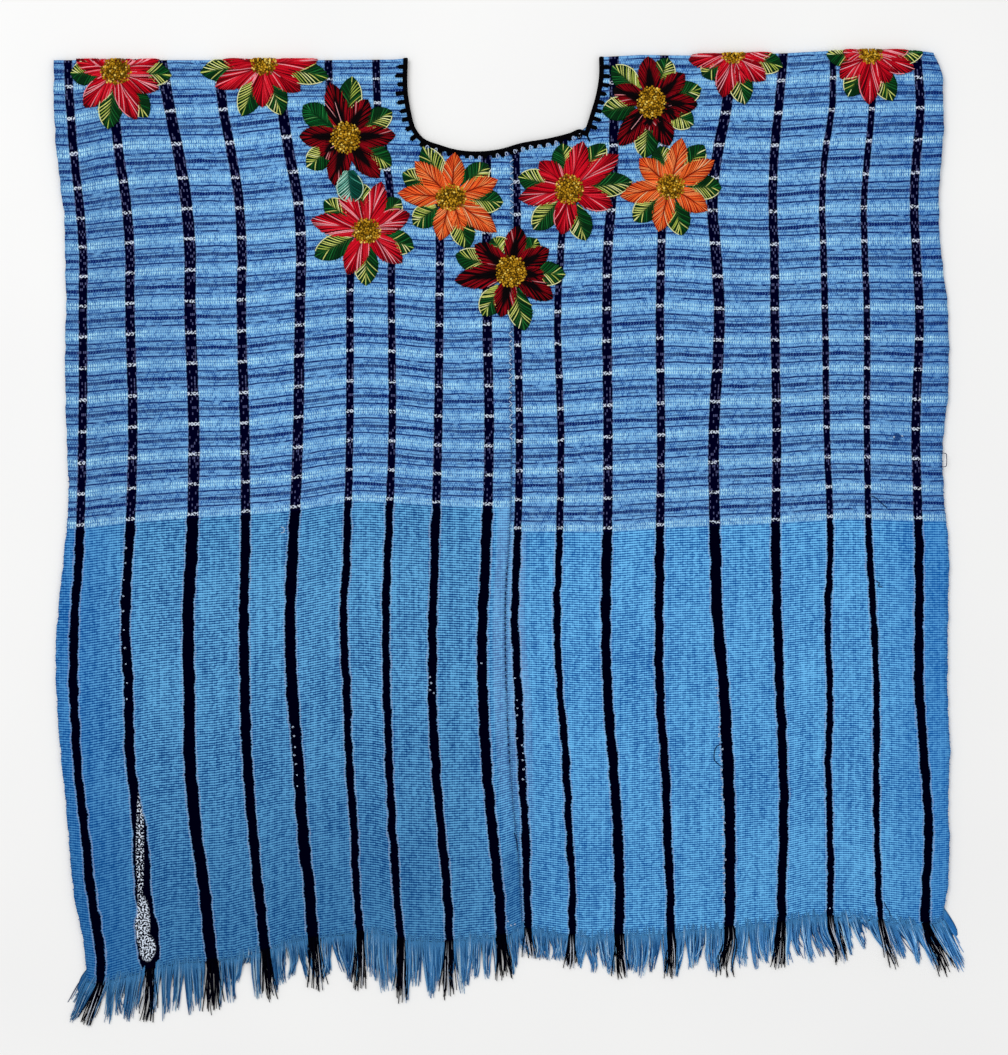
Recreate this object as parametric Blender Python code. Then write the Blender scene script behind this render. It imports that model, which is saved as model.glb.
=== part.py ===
"""Handwoven huipil blouse of two loom panels, laid flat with its front on its back.

The panels are folded at the shoulders and meet at a seam down the middle. A bound neck is cut
through front and back, embroidered flowers lie round it, and all four hems end in a fringe.
+X is to the right, +Y runs up the garment to the shoulders, and +Z is up from the surface below.

Most shapes are first set out on the flat cloth, in cloth places (x, s). There s is the distance
below the shoulder fold on the front. It falls to 0 where the fold starts, and is negative round
the fold and down the back. on_cloth then lays such a place on the folded cloth.
"""

import math

import bmesh
import bpy
import numpy as np

MM = 0.001

# The cloth wall and how its layers lie, in millimetres
CLOTH = 1.2
LAYER_GAP = 0.8
FOLD_RADIUS = CLOTH + LAYER_GAP / 2
TURN = math.pi * FOLD_RADIUS
SEAM_GAP = 0.3
BACK_SHORTER = 10.0
BACK_NARROWER = 1.5

# Rough heights of the fold and the hem, at which the panel's edges are first read
FOLD_HEIGHT = 412.0
HEM_HEIGHT = -345.0

# The shoulder fold stays plump: full rise this far down, none this much further down
SHOULDER_RISE = 1.5
SHOULDER_FLAT = 38.0
SHOULDER_SLOPE = 150.0

PANEL_COLUMNS = 14
FRONT_ROWS = 24
FOLD_ROWS = 6
BACK_ROWS = 14

# The neck binding, and the flowers on the cloth
BINDING_WIDTH = 5.0
BINDING_RAISE = 0.7
NECK_SAMPLES = 30
NECK_SIDE_SAMPLES = 8
CUT_BOTTOM = -5.0
CUT_TOP = 12.0
LYING_GAP = 0.35
FLOWER_HEIGHT = 2.2
DISC_EDGE_HEIGHT = 1.7
PETAL_EDGE_HEIGHT = 0.7
UNDER_FOLD_SHARE = 0.45
LOBE_SHOULDER = 0.72
LOBE_TURN = 0.3
FLOWER_CLEARANCE = 0.6
SHORTEN = 0.97

# The fringe: a narrow strip parted from the hem, and its strands
STRIP_WIDTH = 3.0
FRONT_STRANDS = 64
BACK_STRANDS = 36
STRAND_SHARE = 0.58
TIP_WIDTH = 1.2
TIP_HEIGHT = 0.4
TIP_CLEARANCE = 0.4
BACK_FRINGE_SHARE = 0.85
STRAND_UNEVEN = 0.06
UNEVEN_PITCH = 1.7

# Edges of the laid garment at each height up it
SECTION_COLUMNS = ("y", "left", "seam", "right")
SECTIONS = [
    (-385, -362.5, 13, 372),
    (-355, -363.5, 13, 372),
    (-331, -368, 12.5, 373),
    (-312, -372, 11.5, 377),
    (-269, -376.5, 9, 380),
    (-226, -380, 4.5, 379),
    (-183, -384.5, 1.5, 380.5),
    (-140, -387.5, -0.5, 378.5),
    (-97, -388.5, -1.5, 378.5),
    (-54, -385.5, -1.5, 379),
    (-11, -381, 1, 379.5),
    (32, -377.5, 3, 375.5),
    (84, -379, 3.5, 374.5),
    (118, -380, 3, 378.5),
    (161, -380.5, 3, 379.5),
    (204, -379.5, 3.5, 378),
    (239, -380.5, 4, 373.5),
    (273, -381, 4, 371),
    (308, -385, 4, 371.5),
    (342, -388.5, 4, 374.5),
    (376, -390, 4, 374.5),
    (404, -390, 4, 372),
    (419, -389.5, 4, 365),
]

# The shoulder fold across the garment
SHOULDER_COLUMNS = ("x", "y")
SHOULDER = [
    (-391, 410.5),
    (-160, 410.5),
    (-97, 411),
    (-84, 412.5),
    (78, 413),
    (114, 415),
    (157, 414.5),
    (240, 416.5),
    (277, 418.5),
    (358, 418),
    (373, 416),
]

# Each front hem, with the fringe below it and how far its tips lean to the right
HEM_COLUMNS = ("x", "y", "fringe", "lean")
LEFT_HEM = [
    (-363, -382.5, 36, -10),
    (-350, -385, 33, -7),
    (-313, -374.5, 38, -4),
    (-286, -367, 46, -1),
    (-254, -364.5, 42, 0),
    (-233, -362.5, 33, 0),
    (-227, -360.5, 9, 0),
    (-221, -359, 33, 1),
    (-209, -356.5, 39, 3),
    (-185, -348.5, 33, 2),
    (-165, -345.5, 41, 2),
    (-143, -342.5, 39, 2),
    (-126, -340, 47, 0),
    (-106, -342.5, 46, 0),
    (-90, -347, 50, 0),
    (-51, -348.5, 45, 0),
    (-32, -346, 40, 0),
    (-13, -344.5, 36, 1),
    (1, -342.5, 32, 3),
    (12, -337, 23, 4),
]
RIGHT_HEM = [
    (13, -337, 22, 4),
    (29, -340, 22, 2),
    (47, -342.5, 26, 0),
    (67, -344.5, 27, -2),
    (90, -343.5, 33, 2),
    (114, -342.5, 35, 0),
    (138, -341, 35, 2),
    (166, -338.5, 34, 0),
    (190, -336.5, 38, -2),
    (210, -334, 42, 2),
    (234, -332.5, 35, -3),
    (257, -327, 38, 6),
    (277, -326.5, 37, 9),
    (299, -327, 28, 8),
    (320, -330, 37, 10),
    (342, -332.5, 39, 12),
    (359, -333.5, 40, 16),
    (373, -331.5, 42, 20),
]

# The neck's inner edge: down its left side and along its foot, then up its right side
NECK_COLUMNS = ("x", "y")
NECK_FOOT = [
    (-85.5, 420),
    (-85.5, 381),
    (-83, 366),
    (-78.5, 351),
    (-73, 344),
    (-58, 337.5),
    (-41, 333),
    (-24, 332),
    (-6.5, 334),
    (11, 339),
    (36.5, 343.5),
    (54, 348),
    (62.5, 351),
    (66.5, 349.5),
]
NECK_SIDE = [
    (66.5, 349.5),
    (71, 363.5),
    (76, 380.5),
    (78.5, 395),
    (78.5, 420),
]

# Soft ridges in the front: the two ends of each crest, its half width and its height
RIDGE_COLUMNS = ("x1", "y1", "x2", "y2", "half_width", "height")
RIDGES = [
    (-28, -110, -8, -330, 36, 1.8),
    (46, -150, 50, -325, 34, 1.6),
    (-250, -60, -215, -335, 60, 1.5),
    (-335, 70, -150, -30, 55, 1.2),
    (150, 40, 190, -315, 60, 1.5),
    (330, -20, 300, -315, 45, 1.4),
    (-300, 220, -190, 110, 60, 1.0),
    (130, 130, 300, 190, 60, 1.0),
]
EDGE_CALM = 45.0

# Thread and cloth colours, all matte
ROUGHNESS = 0.8
RED = (0.42, 0.012, 0.025)
DARK_RED = (0.085, 0.004, 0.008)
ORANGE = (0.78, 0.16, 0.05)
CLOTH_BLUE = (0.10, 0.27, 0.56)
FRINGE_BLUE = (0.07, 0.20, 0.45)
BINDING_BLACK = (0.008, 0.008, 0.010)

# Each flower: its middle on the front, its disc's half width and half height, its thread, and the
# directions (degrees from +X towards +Y) and reaches of its petals and leaves
FLOWER_COLUMNS = ("x", "y", "disc_x", "disc_y", "thread", "petals", "leaves")
FLOWERS = [
    (-336.5, 400.5, 14, 12, RED,
     [(19, 40), (70, 36), (115, 36), (163, 36), (228, 41), (293, 45), (338, 40)],
     [(92, 43), (184, 39), (261, 48), (311, 45), (357, 47)]),
    (-209.5, 406.5, 11.5, 10, RED,
     [(6, 46), (60, 38), (118, 38), (168, 37), (206, 46), (268, 37), (324, 39)],
     [(89, 46), (187, 52), (246, 47), (291, 46), (348, 54)]),
    (-139, 343.5, 13.5, 14.5, DARK_RED,
     [(3, 43), (58, 38), (108, 49), (178, 40), (257, 42), (309, 45)],
     [(30, 46), (83, 50), (143, 46), (217, 42), (285, 40), (334, 46)]),
    (-121, 263.5, 13.5, 11.5, RED,
     [(20, 38), (73, 42), (121, 42), (169, 48), (246, 41), (318, 41)],
     [(45, 36), (145, 43), (207, 49), (271, 46), (343, 42)]),
    (-48.5, 292, 14, 12, ORANGE,
     [(21, 43), (84, 33), (137, 41), (175, 44), (253, 38), (322, 46)],
     [(51, 38), (112, 40), (155, 45), (215, 38), (288, 42), (354, 44)]),
    (3, 228.5, 14, 14.5, DARK_RED,
     [(29, 38), (83, 40), (143, 38), (189, 48), (259, 40), (328, 43)],
     [(55, 36), (113, 34), (165, 48), (232, 45), (286, 50), (357, 46)]),
    (53, 299, 13, 13.5, RED,
     [(32, 44), (73, 40), (137, 35), (191, 44), (261, 39), (336, 40)],
     [(4, 42), (52, 42), (101, 38), (164, 44), (226, 42), (293, 45)]),
    (123.5, 373.5, 13, 15, DARK_RED,
     [(42, 38), (97, 37), (158, 35), (231, 42), (297, 36), (356, 40)],
     [(18, 43), (70, 39), (128, 43), (190, 40), (263, 36), (330, 40)]),
    (140, 301.5, 13.5, 11.5, ORANGE,
     [(30, 44), (80, 36), (139, 36), (191, 43), (254, 40), (325, 38)],
     [(55, 42), (107, 34), (223, 42), (285, 43), (358, 44)]),
    (194, 416, 11, 10, RED,
     [(2, 33), (47, 36), (92, 37), (138, 36), (189, 38), (254, 39), (319, 36)],
     [(68, 42), (114, 42), (220, 33), (285, 44), (345, 43)]),
    (312, 416, 11, 10, RED,
     [(20, 34), (58, 36), (100, 37), (141, 36), (216, 34), (268, 43), (338, 40)],
     [(79, 43), (121, 42), (180, 37), (242, 41), (296, 44), (2, 42)]),
]


def column(rows, columns, name):
    """One named column of a table, as an array."""
    return np.array([row[columns.index(name)] for row in rows], float)


def named(rows, columns):
    """The rows of a table, each as a dictionary by column."""
    return [dict(zip(columns, row)) for row in rows]


def smooth(place, value, at):
    """Cubic through a table's values, whose slope at each row is that of its neighbours."""
    at = np.clip(np.asarray(at, float), place[0], place[-1])
    slope = np.gradient(value, place)
    k = np.clip(np.searchsorted(place, at, side="right") - 1, 0, len(place) - 2)
    step = place[k + 1] - place[k]
    t = (at - place[k]) / step
    start = (1 + 2 * t) * (1 - t) ** 2 * value[k] + t * (1 - t) ** 2 * step * slope[k]
    end = t**2 * (3 - 2 * t) * value[k + 1] - t**2 * (1 - t) * step * slope[k + 1]
    return start + end


def smooth_step(t):
    """0 below 0 and 1 above 1, with a soft S between."""
    t = np.clip(t, 0.0, 1.0)
    return t * t * (3 - 2 * t)


def edge(name, y):
    """Across place of the left edge, the seam or the right edge at a height."""
    return smooth(column(SECTIONS, SECTION_COLUMNS, "y"), column(SECTIONS, SECTION_COLUMNS, name), y)


def shoulder(x):
    """Height of the shoulder fold's outer line."""
    return np.interp(x, column(SHOULDER, SHOULDER_COLUMNS, "x"), column(SHOULDER, SHOULDER_COLUMNS, "y"))


def fold_start(x):
    """Height at which the front starts to turn over the shoulder."""
    return shoulder(x) - FOLD_RADIUS


def hem(side, name, x):
    """One column of a side's hem table at an across place."""
    rows = LEFT_HEM if side == "left" else RIGHT_HEM
    return np.interp(x, column(rows, HEM_COLUMNS, "x"), column(rows, HEM_COLUMNS, name))


def shoulder_rise(below):
    """Height of the back's underside above the surface, by the distance below the fold."""
    return SHOULDER_RISE * (1 - smooth_step((below - SHOULDER_FLAT) / SHOULDER_SLOPE))


def front_lift(x, y, below):
    """Soft ridges of the front above its flat state, dying out at the sides and the fold."""
    lift = np.zeros(np.broadcast(x, y).shape)
    for ridge in named(RIDGES, RIDGE_COLUMNS):
        run_x = ridge["x2"] - ridge["x1"]
        run_y = ridge["y2"] - ridge["y1"]
        from_x = x - ridge["x1"]
        from_y = y - ridge["y1"]
        along = np.clip((from_x * run_x + from_y * run_y) / (run_x**2 + run_y**2), 0, 1)
        away = np.hypot(from_x - along * run_x, from_y - along * run_y)
        lift = lift + ridge["height"] * np.exp(-((away / ridge["half_width"]) ** 2))
    inside = np.minimum(x - edge("left", y), edge("right", y) - x)
    return lift * smooth_step(inside / EDGE_CALM) * smooth_step(below / EDGE_CALM)


def on_cloth(x, s, out):
    """Points, in mm, of cloth places (x, s) moved out from the cloth's outer face."""
    x, s, out = np.broadcast_arrays(*(np.asarray(a, float) for a in (x, s, out)))
    below = np.where(s > 0, s, np.maximum(-s - TURN, 0))
    angle = np.clip(-s, 0, TURN) / FOLD_RADIUS
    y = fold_start(x) - below
    reach = FOLD_RADIUS + out
    z = shoulder_rise(below) + FOLD_RADIUS + reach * np.cos(angle)
    z = z + np.where(s > 0, front_lift(x, y, below), 0)
    return np.stack([x, y + reach * np.sin(angle), z], axis=-1)


def panel_x(side, share, y, inset=0.0):
    """Across place in a panel, by its share of the way from its outer edge to the seam."""
    outer = edge("left", y) + inset if side == "left" else edge("right", y) - inset
    inner = edge("seam", y) - SEAM_GAP / 2 if side == "left" else edge("seam", y) + SEAM_GAP / 2
    return outer + (inner - outer) * share


def panel_hem(side, share):
    """Across place and height of the front hem, by share across the panel."""
    y = HEM_HEIGHT
    for _ in range(4):
        x = panel_x(side, share, y)
        y = float(hem(side, "y", x))
    return x, y


def panel_stations():
    """Shares across a panel at which its columns stand."""
    return [k / PANEL_COLUMNS for k in range(PANEL_COLUMNS + 1)]


def hem_on_columns(side, share):
    """Height of the hem, straight between the panel's columns as its wall is."""
    stations = panel_stations()
    return float(np.interp(share, stations, [panel_hem(side, u)[1] for u in stations]))


def panel_column(side, share):
    """Cloth places of one column, from the front hem over the shoulder to the back hem."""
    _, hem_y = panel_hem(side, share)
    top_x = float(panel_x(side, share, FOLD_HEIGHT))
    top_y = float(fold_start(top_x))
    places = []
    for k in range(FRONT_ROWS):
        y = hem_y + (top_y - hem_y) * k / FRONT_ROWS
        x = float(panel_x(side, share, y))
        places.append((x, float(fold_start(x)) - y))
    for k in range(FOLD_ROWS + 1):
        places.append((top_x, -TURN * k / FOLD_ROWS))
    for k in range(1, BACK_ROWS + 1):
        y = top_y + (hem_y + BACK_SHORTER - top_y) * k / BACK_ROWS
        inset = BACK_NARROWER * float(smooth_step((top_y - y) / EDGE_CALM))
        x = float(panel_x(side, share, y, inset))
        places.append((x, -TURN - float(fold_start(x)) + y))
    return places


def finish(mesh_name, bm, colour):
    """Object of a closed bmesh in mm, with its own material."""
    bmesh.ops.triangulate(bm, faces=bm.faces[:])
    bmesh.ops.recalc_face_normals(bm, faces=bm.faces[:])
    bmesh.ops.scale(bm, vec=(MM, MM, MM), verts=bm.verts[:])
    mesh = bpy.data.meshes.new(mesh_name)
    bm.to_mesh(mesh)
    bm.free()
    material = bpy.data.materials.new(mesh_name)
    material.use_nodes = True
    shader = material.node_tree.nodes["Principled BSDF"]
    shader.inputs["Base Color"].default_value = (*colour, 1.0)
    shader.inputs["Roughness"].default_value = ROUGHNESS
    shader.inputs["Metallic"].default_value = 0.0
    mesh.materials.append(material)
    made = bpy.data.objects.new(mesh_name, mesh)
    bpy.context.collection.objects.link(made)
    return made


def add_grid(bm, rows, closed=False):
    """Quads between rows of vertices, with the last row joined to the first if closed."""
    pairs = list(zip(rows, rows[1:]))
    if closed:
        pairs.append((rows[-1], rows[0]))
    for here, after in pairs:
        for k in range(len(here) - 1):
            bm.faces.new((here[k], here[k + 1], after[k + 1], after[k]))


def panel_wall(side):
    """Closed wall of one loom panel: outer face, inner face and the edges between."""
    bm = bmesh.new()
    faces = []
    for out in (0.0, -CLOTH):
        columns = []
        for share in panel_stations():
            places = np.array(panel_column(side, share))
            points = on_cloth(places[:, 0], places[:, 1], out)
            columns.append([bm.verts.new(point) for point in points])
        faces.append(columns)
    outer, inner = faces
    add_grid(bm, outer)
    add_grid(bm, inner)
    add_grid(bm, [outer[0], inner[0]])
    add_grid(bm, [outer[-1], inner[-1]])
    for end in (0, -1):
        add_grid(bm, [[line[end] for line in outer], [line[end] for line in inner]])
    return bm


def neck_line(offset):
    """Cloth places (x, y) along the front neck from left to right, moved out into the cloth."""
    foot_x, foot_y = (column(NECK_FOOT, NECK_COLUMNS, name) for name in NECK_COLUMNS)
    side_x, side_y = (column(NECK_SIDE, NECK_COLUMNS, name) for name in NECK_COLUMNS)
    points = []
    for xs, ys, samples in ((foot_x, foot_y, NECK_SAMPLES), (side_x, side_y, NECK_SIDE_SAMPLES)):
        length = np.concatenate([[0], np.cumsum(np.hypot(np.diff(xs), np.diff(ys)))])
        at = np.linspace(0, length[-1], samples)
        points.append(np.stack([smooth(length, xs, at), smooth(length, ys, at)], axis=-1))
    line = np.concatenate([points[0][:-1], points[1]])
    ahead = np.diff(line, axis=0)
    ahead = ahead / np.linalg.norm(ahead, axis=1)[:, None]
    before = np.vstack([ahead[:1], ahead])
    after = np.vstack([ahead, ahead[-1:]])
    outward = np.stack([before[:, 1] + after[:, 1], -before[:, 0] - after[:, 0]], axis=-1)
    outward = outward / np.linalg.norm(outward, axis=1)[:, None]
    mitre = np.sum(outward * np.stack([before[:, 1], -before[:, 0]], axis=-1), axis=1)
    return line + outward * (offset / mitre)[:, None]


def neck_cutter():
    """Upright prism of the neck hole, up past the shoulder fold."""
    line = neck_line(BINDING_WIDTH + SEAM_GAP)
    bm = bmesh.new()
    rings = [[bm.verts.new((x, y, z)) for x, y in line] for z in (CUT_BOTTOM, CUT_TOP)]
    for ring in rings:
        bm.faces.new(ring)
    add_grid(bm, rings)
    bm.faces.new((rings[0][0], rings[0][-1], rings[1][-1], rings[1][0]))
    cutter = finish("neck_cutter", bm, BINDING_BLACK)
    cutter.hide_render = True
    cutter.display_type = "WIRE"
    return cutter


def make_panel(side, cutter):
    """One loom panel with the neck cut out of its front and back."""
    panel = finish(side + "_panel", panel_wall(side), CLOTH_BLUE)
    cut = panel.modifiers.new("neck", "BOOLEAN")
    cut.operation = "DIFFERENCE"
    cut.solver = "EXACT"
    cut.object = cutter


def binding_places():
    """Cloth places of the binding's two edges round the whole neck: front, fold, back, fold."""
    edges = []
    for offset in (0.0, BINDING_WIDTH):
        line = neck_line(offset)
        start = fold_start(line[:, 0])
        line = line[line[:, 1] < start]
        below = fold_start(line[:, 0]) - line[:, 1]
        left = float(line[0, 0])
        right = float(line[-1, 0])
        over = [-TURN * k / FOLD_ROWS for k in range(FOLD_ROWS + 1)]
        front = list(zip(line[:, 0], below))
        back = [(x, -TURN - s) for x, s in reversed(front)]
        turn_right = [(right, s) for s in over]
        turn_left = [(left, s) for s in reversed(over)]
        edges.append(np.array(front + turn_right + back + turn_left, float))
    return edges


def make_binding():
    """Closed band round the neck's cut edge, raised a little above the cloth."""
    bm = bmesh.new()
    inner, outer = binding_places()
    corners = ((inner, -CLOTH), (outer, -CLOTH), (outer, BINDING_RAISE), (inner, BINDING_RAISE))
    loops = []
    for places, out in corners:
        points = on_cloth(places[:, 0], places[:, 1], out)
        loops.append([bm.verts.new(point) for point in points])
    rings = [list(ring) + [ring[0]] for ring in zip(*loops)]
    add_grid(bm, rings, closed=True)
    finish("neck_binding", bm, BINDING_BLACK)


def inside_neck(x, y):
    """Whether a front place lies in the neck hole or on its binding, with the lying gap."""
    line = neck_line(BINDING_WIDTH + LYING_GAP)
    inside = False
    for (x1, y1), (x2, y2) in zip(line, np.roll(line, -1, axis=0)):
        if (y1 > y) != (y2 > y) and x < x1 + (y - y1) * (x2 - x1) / (y2 - y1):
            inside = not inside
    return inside


def flower_outline(flower):
    """Offsets of a flower's outline: two shoulders and a tip for each petal and leaf.

    A lobe stops short of the line halfway to a neighbouring flower, and of the neck binding.
    """
    x, y = flower["x"], flower["y"]
    lobes = sorted((angle % 360, reach) for angle, reach in flower["petals"] + flower["leaves"])
    outline = []
    for k, (angle, reach) in enumerate(lobes):
        before = (angle - lobes[k - 1][0]) % 360
        after = (lobes[(k + 1) % len(lobes)][0] - angle) % 360
        outline.append((math.radians(angle - LOBE_TURN * before), reach * LOBE_SHOULDER))
        outline.append((math.radians(angle), reach))
        outline.append((math.radians(angle + LOBE_TURN * after), reach * LOBE_SHOULDER))
    kept = []
    for angle, reach in outline:
        for other in named(FLOWERS, FLOWER_COLUMNS):
            away_x = other["x"] - x
            away_y = other["y"] - y
            apart = math.hypot(away_x, away_y)
            towards = math.cos(angle - math.atan2(away_y, away_x))
            if apart > 0 and towards > 0:
                reach = min(reach, (apart / 2 - FLOWER_CLEARANCE) / towards)
        while inside_neck(x + reach * math.cos(angle), y + reach * math.sin(angle)):
            reach *= SHORTEN
        kept.append((reach * math.cos(angle), reach * math.sin(angle)))
    return kept


def make_flower(number, flower):
    """Raised embroidered flower and its leaves, laid on the cloth and over the shoulder fold."""
    x = flower["x"]
    middle = float(fold_start(x)) - flower["y"]
    outline = flower_outline(flower)
    bm = bmesh.new()

    def ring(points, height):
        return [bm.verts.new((x + dx, middle - dy, height)) for dx, dy in points]

    disc = []
    for dx, dy in outline:
        length = math.hypot(dx, dy)
        disc.append((flower["disc_x"] * dx / length, flower["disc_y"] * dy / length))
    under = ring(outline, 0.0)
    rim = ring(outline, PETAL_EDGE_HEIGHT)
    edge_of_disc = ring(disc, DISC_EDGE_HEIGHT)
    top = bm.verts.new((x, middle, FLOWER_HEIGHT))
    foot = bm.verts.new((x, middle, 0.0))
    for here, after in ((under, rim), (rim, edge_of_disc)):
        add_grid(bm, [here + [here[0]], after + [after[0]]])
    for k in range(len(outline)):
        bm.faces.new((edge_of_disc[k - 1], edge_of_disc[k], top))
        bm.faces.new((under[k - 1], under[k], foot))
    for k in range(FOLD_ROWS + 1):
        plane = (0, -TURN * k / FOLD_ROWS, 0)
        shape = bm.verts[:] + bm.edges[:] + bm.faces[:]
        bmesh.ops.bisect_plane(bm, geom=shape, dist=1e-4, plane_co=plane, plane_no=(0, 1, 0))
    for vert in bm.verts:
        share = 1 - (1 - UNDER_FOLD_SHARE) * min(max(-vert.co.y / TURN, 0.0), 1.0)
        vert.co = on_cloth(vert.co.x, vert.co.y, LYING_GAP + vert.co.z * share)
    finish(f"flower_{number:02d}", bm, flower["thread"])


def fringe_tip(side, layer, x, y):
    """Place of the tip of a strand that leaves the hem at x, y, a little uneven in length."""
    length = float(hem(side, "fringe", x)) * (1 + STRAND_UNEVEN * math.sin(x * UNEVEN_PITCH))
    lean = float(hem(side, "lean", x))
    if layer == "back":
        length *= BACK_FRINGE_SHARE
        lean *= BACK_FRINGE_SHARE
    return x + lean, y - length


def make_fringe(side, layer):
    """Strip along one hem, parted from the cloth, with its strands fused to it."""
    count = FRONT_STRANDS if layer == "front" else BACK_STRANDS
    raised = 0.0 if layer == "front" else BACK_SHORTER
    inset = 0.0 if layer == "front" else BACK_NARROWER
    stations = [0.0]
    for k in range(count):
        stations.append((k + 0.5 - STRAND_SHARE / 2) / count)
        stations.append((k + 0.5 + STRAND_SHARE / 2) / count)
    stations.append(1.0)
    bm = bmesh.new()
    rings = []
    for share in stations:
        hem_y = hem_on_columns(side, share) + raised
        corners = []
        for down, out in ((0, 0), (STRIP_WIDTH, 0), (STRIP_WIDTH, -CLOTH), (0, -CLOTH)):
            y = hem_y - SEAM_GAP - down
            x = float(panel_x(side, share, y, inset))
            below = float(fold_start(x)) - y
            s = below if layer == "front" else -TURN - below
            corners.append(bm.verts.new(on_cloth(x, s, out)))
        rings.append(corners)
    bm.faces.new(rings[0])
    bm.faces.new(rings[-1])
    for k, (here, after) in enumerate(zip(rings, rings[1:])):
        for a, b in ((0, 1), (2, 3), (3, 0)):
            bm.faces.new((here[a], here[b], after[b], after[a]))
        root = (here[1], here[2], after[2], after[1])
        if k % 2 == 0:
            bm.faces.new(root)
            continue
        middle = sum((vert.co for vert in root), root[0].co * 0) / 4
        x, y = fringe_tip(side, layer, middle.x, middle.y)
        across = math.copysign(TIP_WIDTH / 2, root[3].co.x - root[0].co.x)
        outer_z, inner_z = TIP_CLEARANCE + TIP_HEIGHT, TIP_CLEARANCE
        if layer == "back":
            outer_z, inner_z = inner_z, outer_z
        tip = [
            bm.verts.new((x - across, y, outer_z)),
            bm.verts.new((x - across, y, inner_z)),
            bm.verts.new((x + across, y, inner_z)),
            bm.verts.new((x + across, y, outer_z)),
        ]
        add_grid(bm, [list(root) + [root[0]], tip + [tip[0]]])
        bm.faces.new(tip)
    finish(f"{layer}_{side}_fringe", bm, FRINGE_BLUE)


def main():
    """Clear the file and make every piece of the blouse."""
    for old in list(bpy.data.objects):
        bpy.data.objects.remove(old)
    cutter = neck_cutter()
    for side in ("left", "right"):
        make_panel(side, cutter)
    make_binding()
    for number, flower in enumerate(named(FLOWERS, FLOWER_COLUMNS), 1):
        make_flower(number, flower)
    for layer in ("front", "back"):
        for side in ("left", "right"):
            make_fringe(side, layer)


main()
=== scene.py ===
"""Looks of a handwoven huipil blouse laid flat: its panels, binding, embroidery, fringe and sewing.

Lengths are in millimetres until a piece is made. Things on the cloth are set out flat, as points
(x, y, out): x across, y up the garment as on a flat front, and out the height above the cloth's
outer face. lay then puts them on the folded cloth, over the shoulder fold where y passes it.
"""

import math

import bpy
import numpy as np
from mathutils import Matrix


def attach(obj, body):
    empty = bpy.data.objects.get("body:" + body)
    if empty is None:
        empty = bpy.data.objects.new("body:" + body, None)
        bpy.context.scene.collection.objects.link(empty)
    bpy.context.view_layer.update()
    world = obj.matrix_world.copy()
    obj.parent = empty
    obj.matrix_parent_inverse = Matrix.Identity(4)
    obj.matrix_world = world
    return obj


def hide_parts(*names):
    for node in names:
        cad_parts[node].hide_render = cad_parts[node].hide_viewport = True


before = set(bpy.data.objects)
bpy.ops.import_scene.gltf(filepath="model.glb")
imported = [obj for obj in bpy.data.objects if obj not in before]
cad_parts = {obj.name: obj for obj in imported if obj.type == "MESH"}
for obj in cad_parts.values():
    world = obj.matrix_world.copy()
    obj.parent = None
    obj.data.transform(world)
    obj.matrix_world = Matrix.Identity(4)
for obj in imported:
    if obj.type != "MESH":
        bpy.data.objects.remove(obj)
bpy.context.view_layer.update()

MM = 0.001

# The cloth wall and how its layers lie
CLOTH = 1.2
LAYER_GAP = 0.8
FOLD_RADIUS = CLOTH + LAYER_GAP / 2
TURN = math.pi * FOLD_RADIUS
SEAM_GAP = 0.3
THICKEST_EMBROIDERY = 3.6
BACK_SHORTER = 10.0
BACK_NARROWER = 1.5
SHOULDER_RISE = 1.5
SHOULDER_FLAT = 38.0
SHOULDER_SLOPE = 150.0
EDGE_CALM = 45.0

# The photograph: the size of one of its pixels, and the pixel that lies on the origin
MM_PER_PIXEL = 0.86
PIXEL_X = 507.5
PIXEL_Y = 537.5
PHOTO_WIDTH = 1008
PHOTO_HEIGHT = 1055

# Edges of the laid garment at each height up it
SECTION_COLUMNS = ("y", "left", "seam", "right")
SECTIONS = [
    (-385, -362.5, 13, 372),
    (-355, -363.5, 13, 372),
    (-331, -368, 12.5, 373),
    (-312, -372, 11.5, 377),
    (-269, -376.5, 9, 380),
    (-226, -380, 4.5, 379),
    (-183, -384.5, 1.5, 380.5),
    (-140, -387.5, -0.5, 378.5),
    (-97, -388.5, -1.5, 378.5),
    (-54, -385.5, -1.5, 379),
    (-11, -381, 1, 379.5),
    (32, -377.5, 3, 375.5),
    (84, -379, 3.5, 374.5),
    (118, -380, 3, 378.5),
    (161, -380.5, 3, 379.5),
    (204, -379.5, 3.5, 378),
    (239, -380.5, 4, 373.5),
    (273, -381, 4, 371),
    (308, -385, 4, 371.5),
    (342, -388.5, 4, 374.5),
    (376, -390, 4, 374.5),
    (404, -390, 4, 372),
    (419, -389.5, 4, 365),
]

# The shoulder fold across the garment
SHOULDER_COLUMNS = ("x", "y")
SHOULDER = [
    (-391, 410.5),
    (-160, 410.5),
    (-97, 411),
    (-84, 412.5),
    (78, 413),
    (114, 415),
    (157, 414.5),
    (240, 416.5),
    (277, 418.5),
    (358, 418),
    (373, 416),
]

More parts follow.
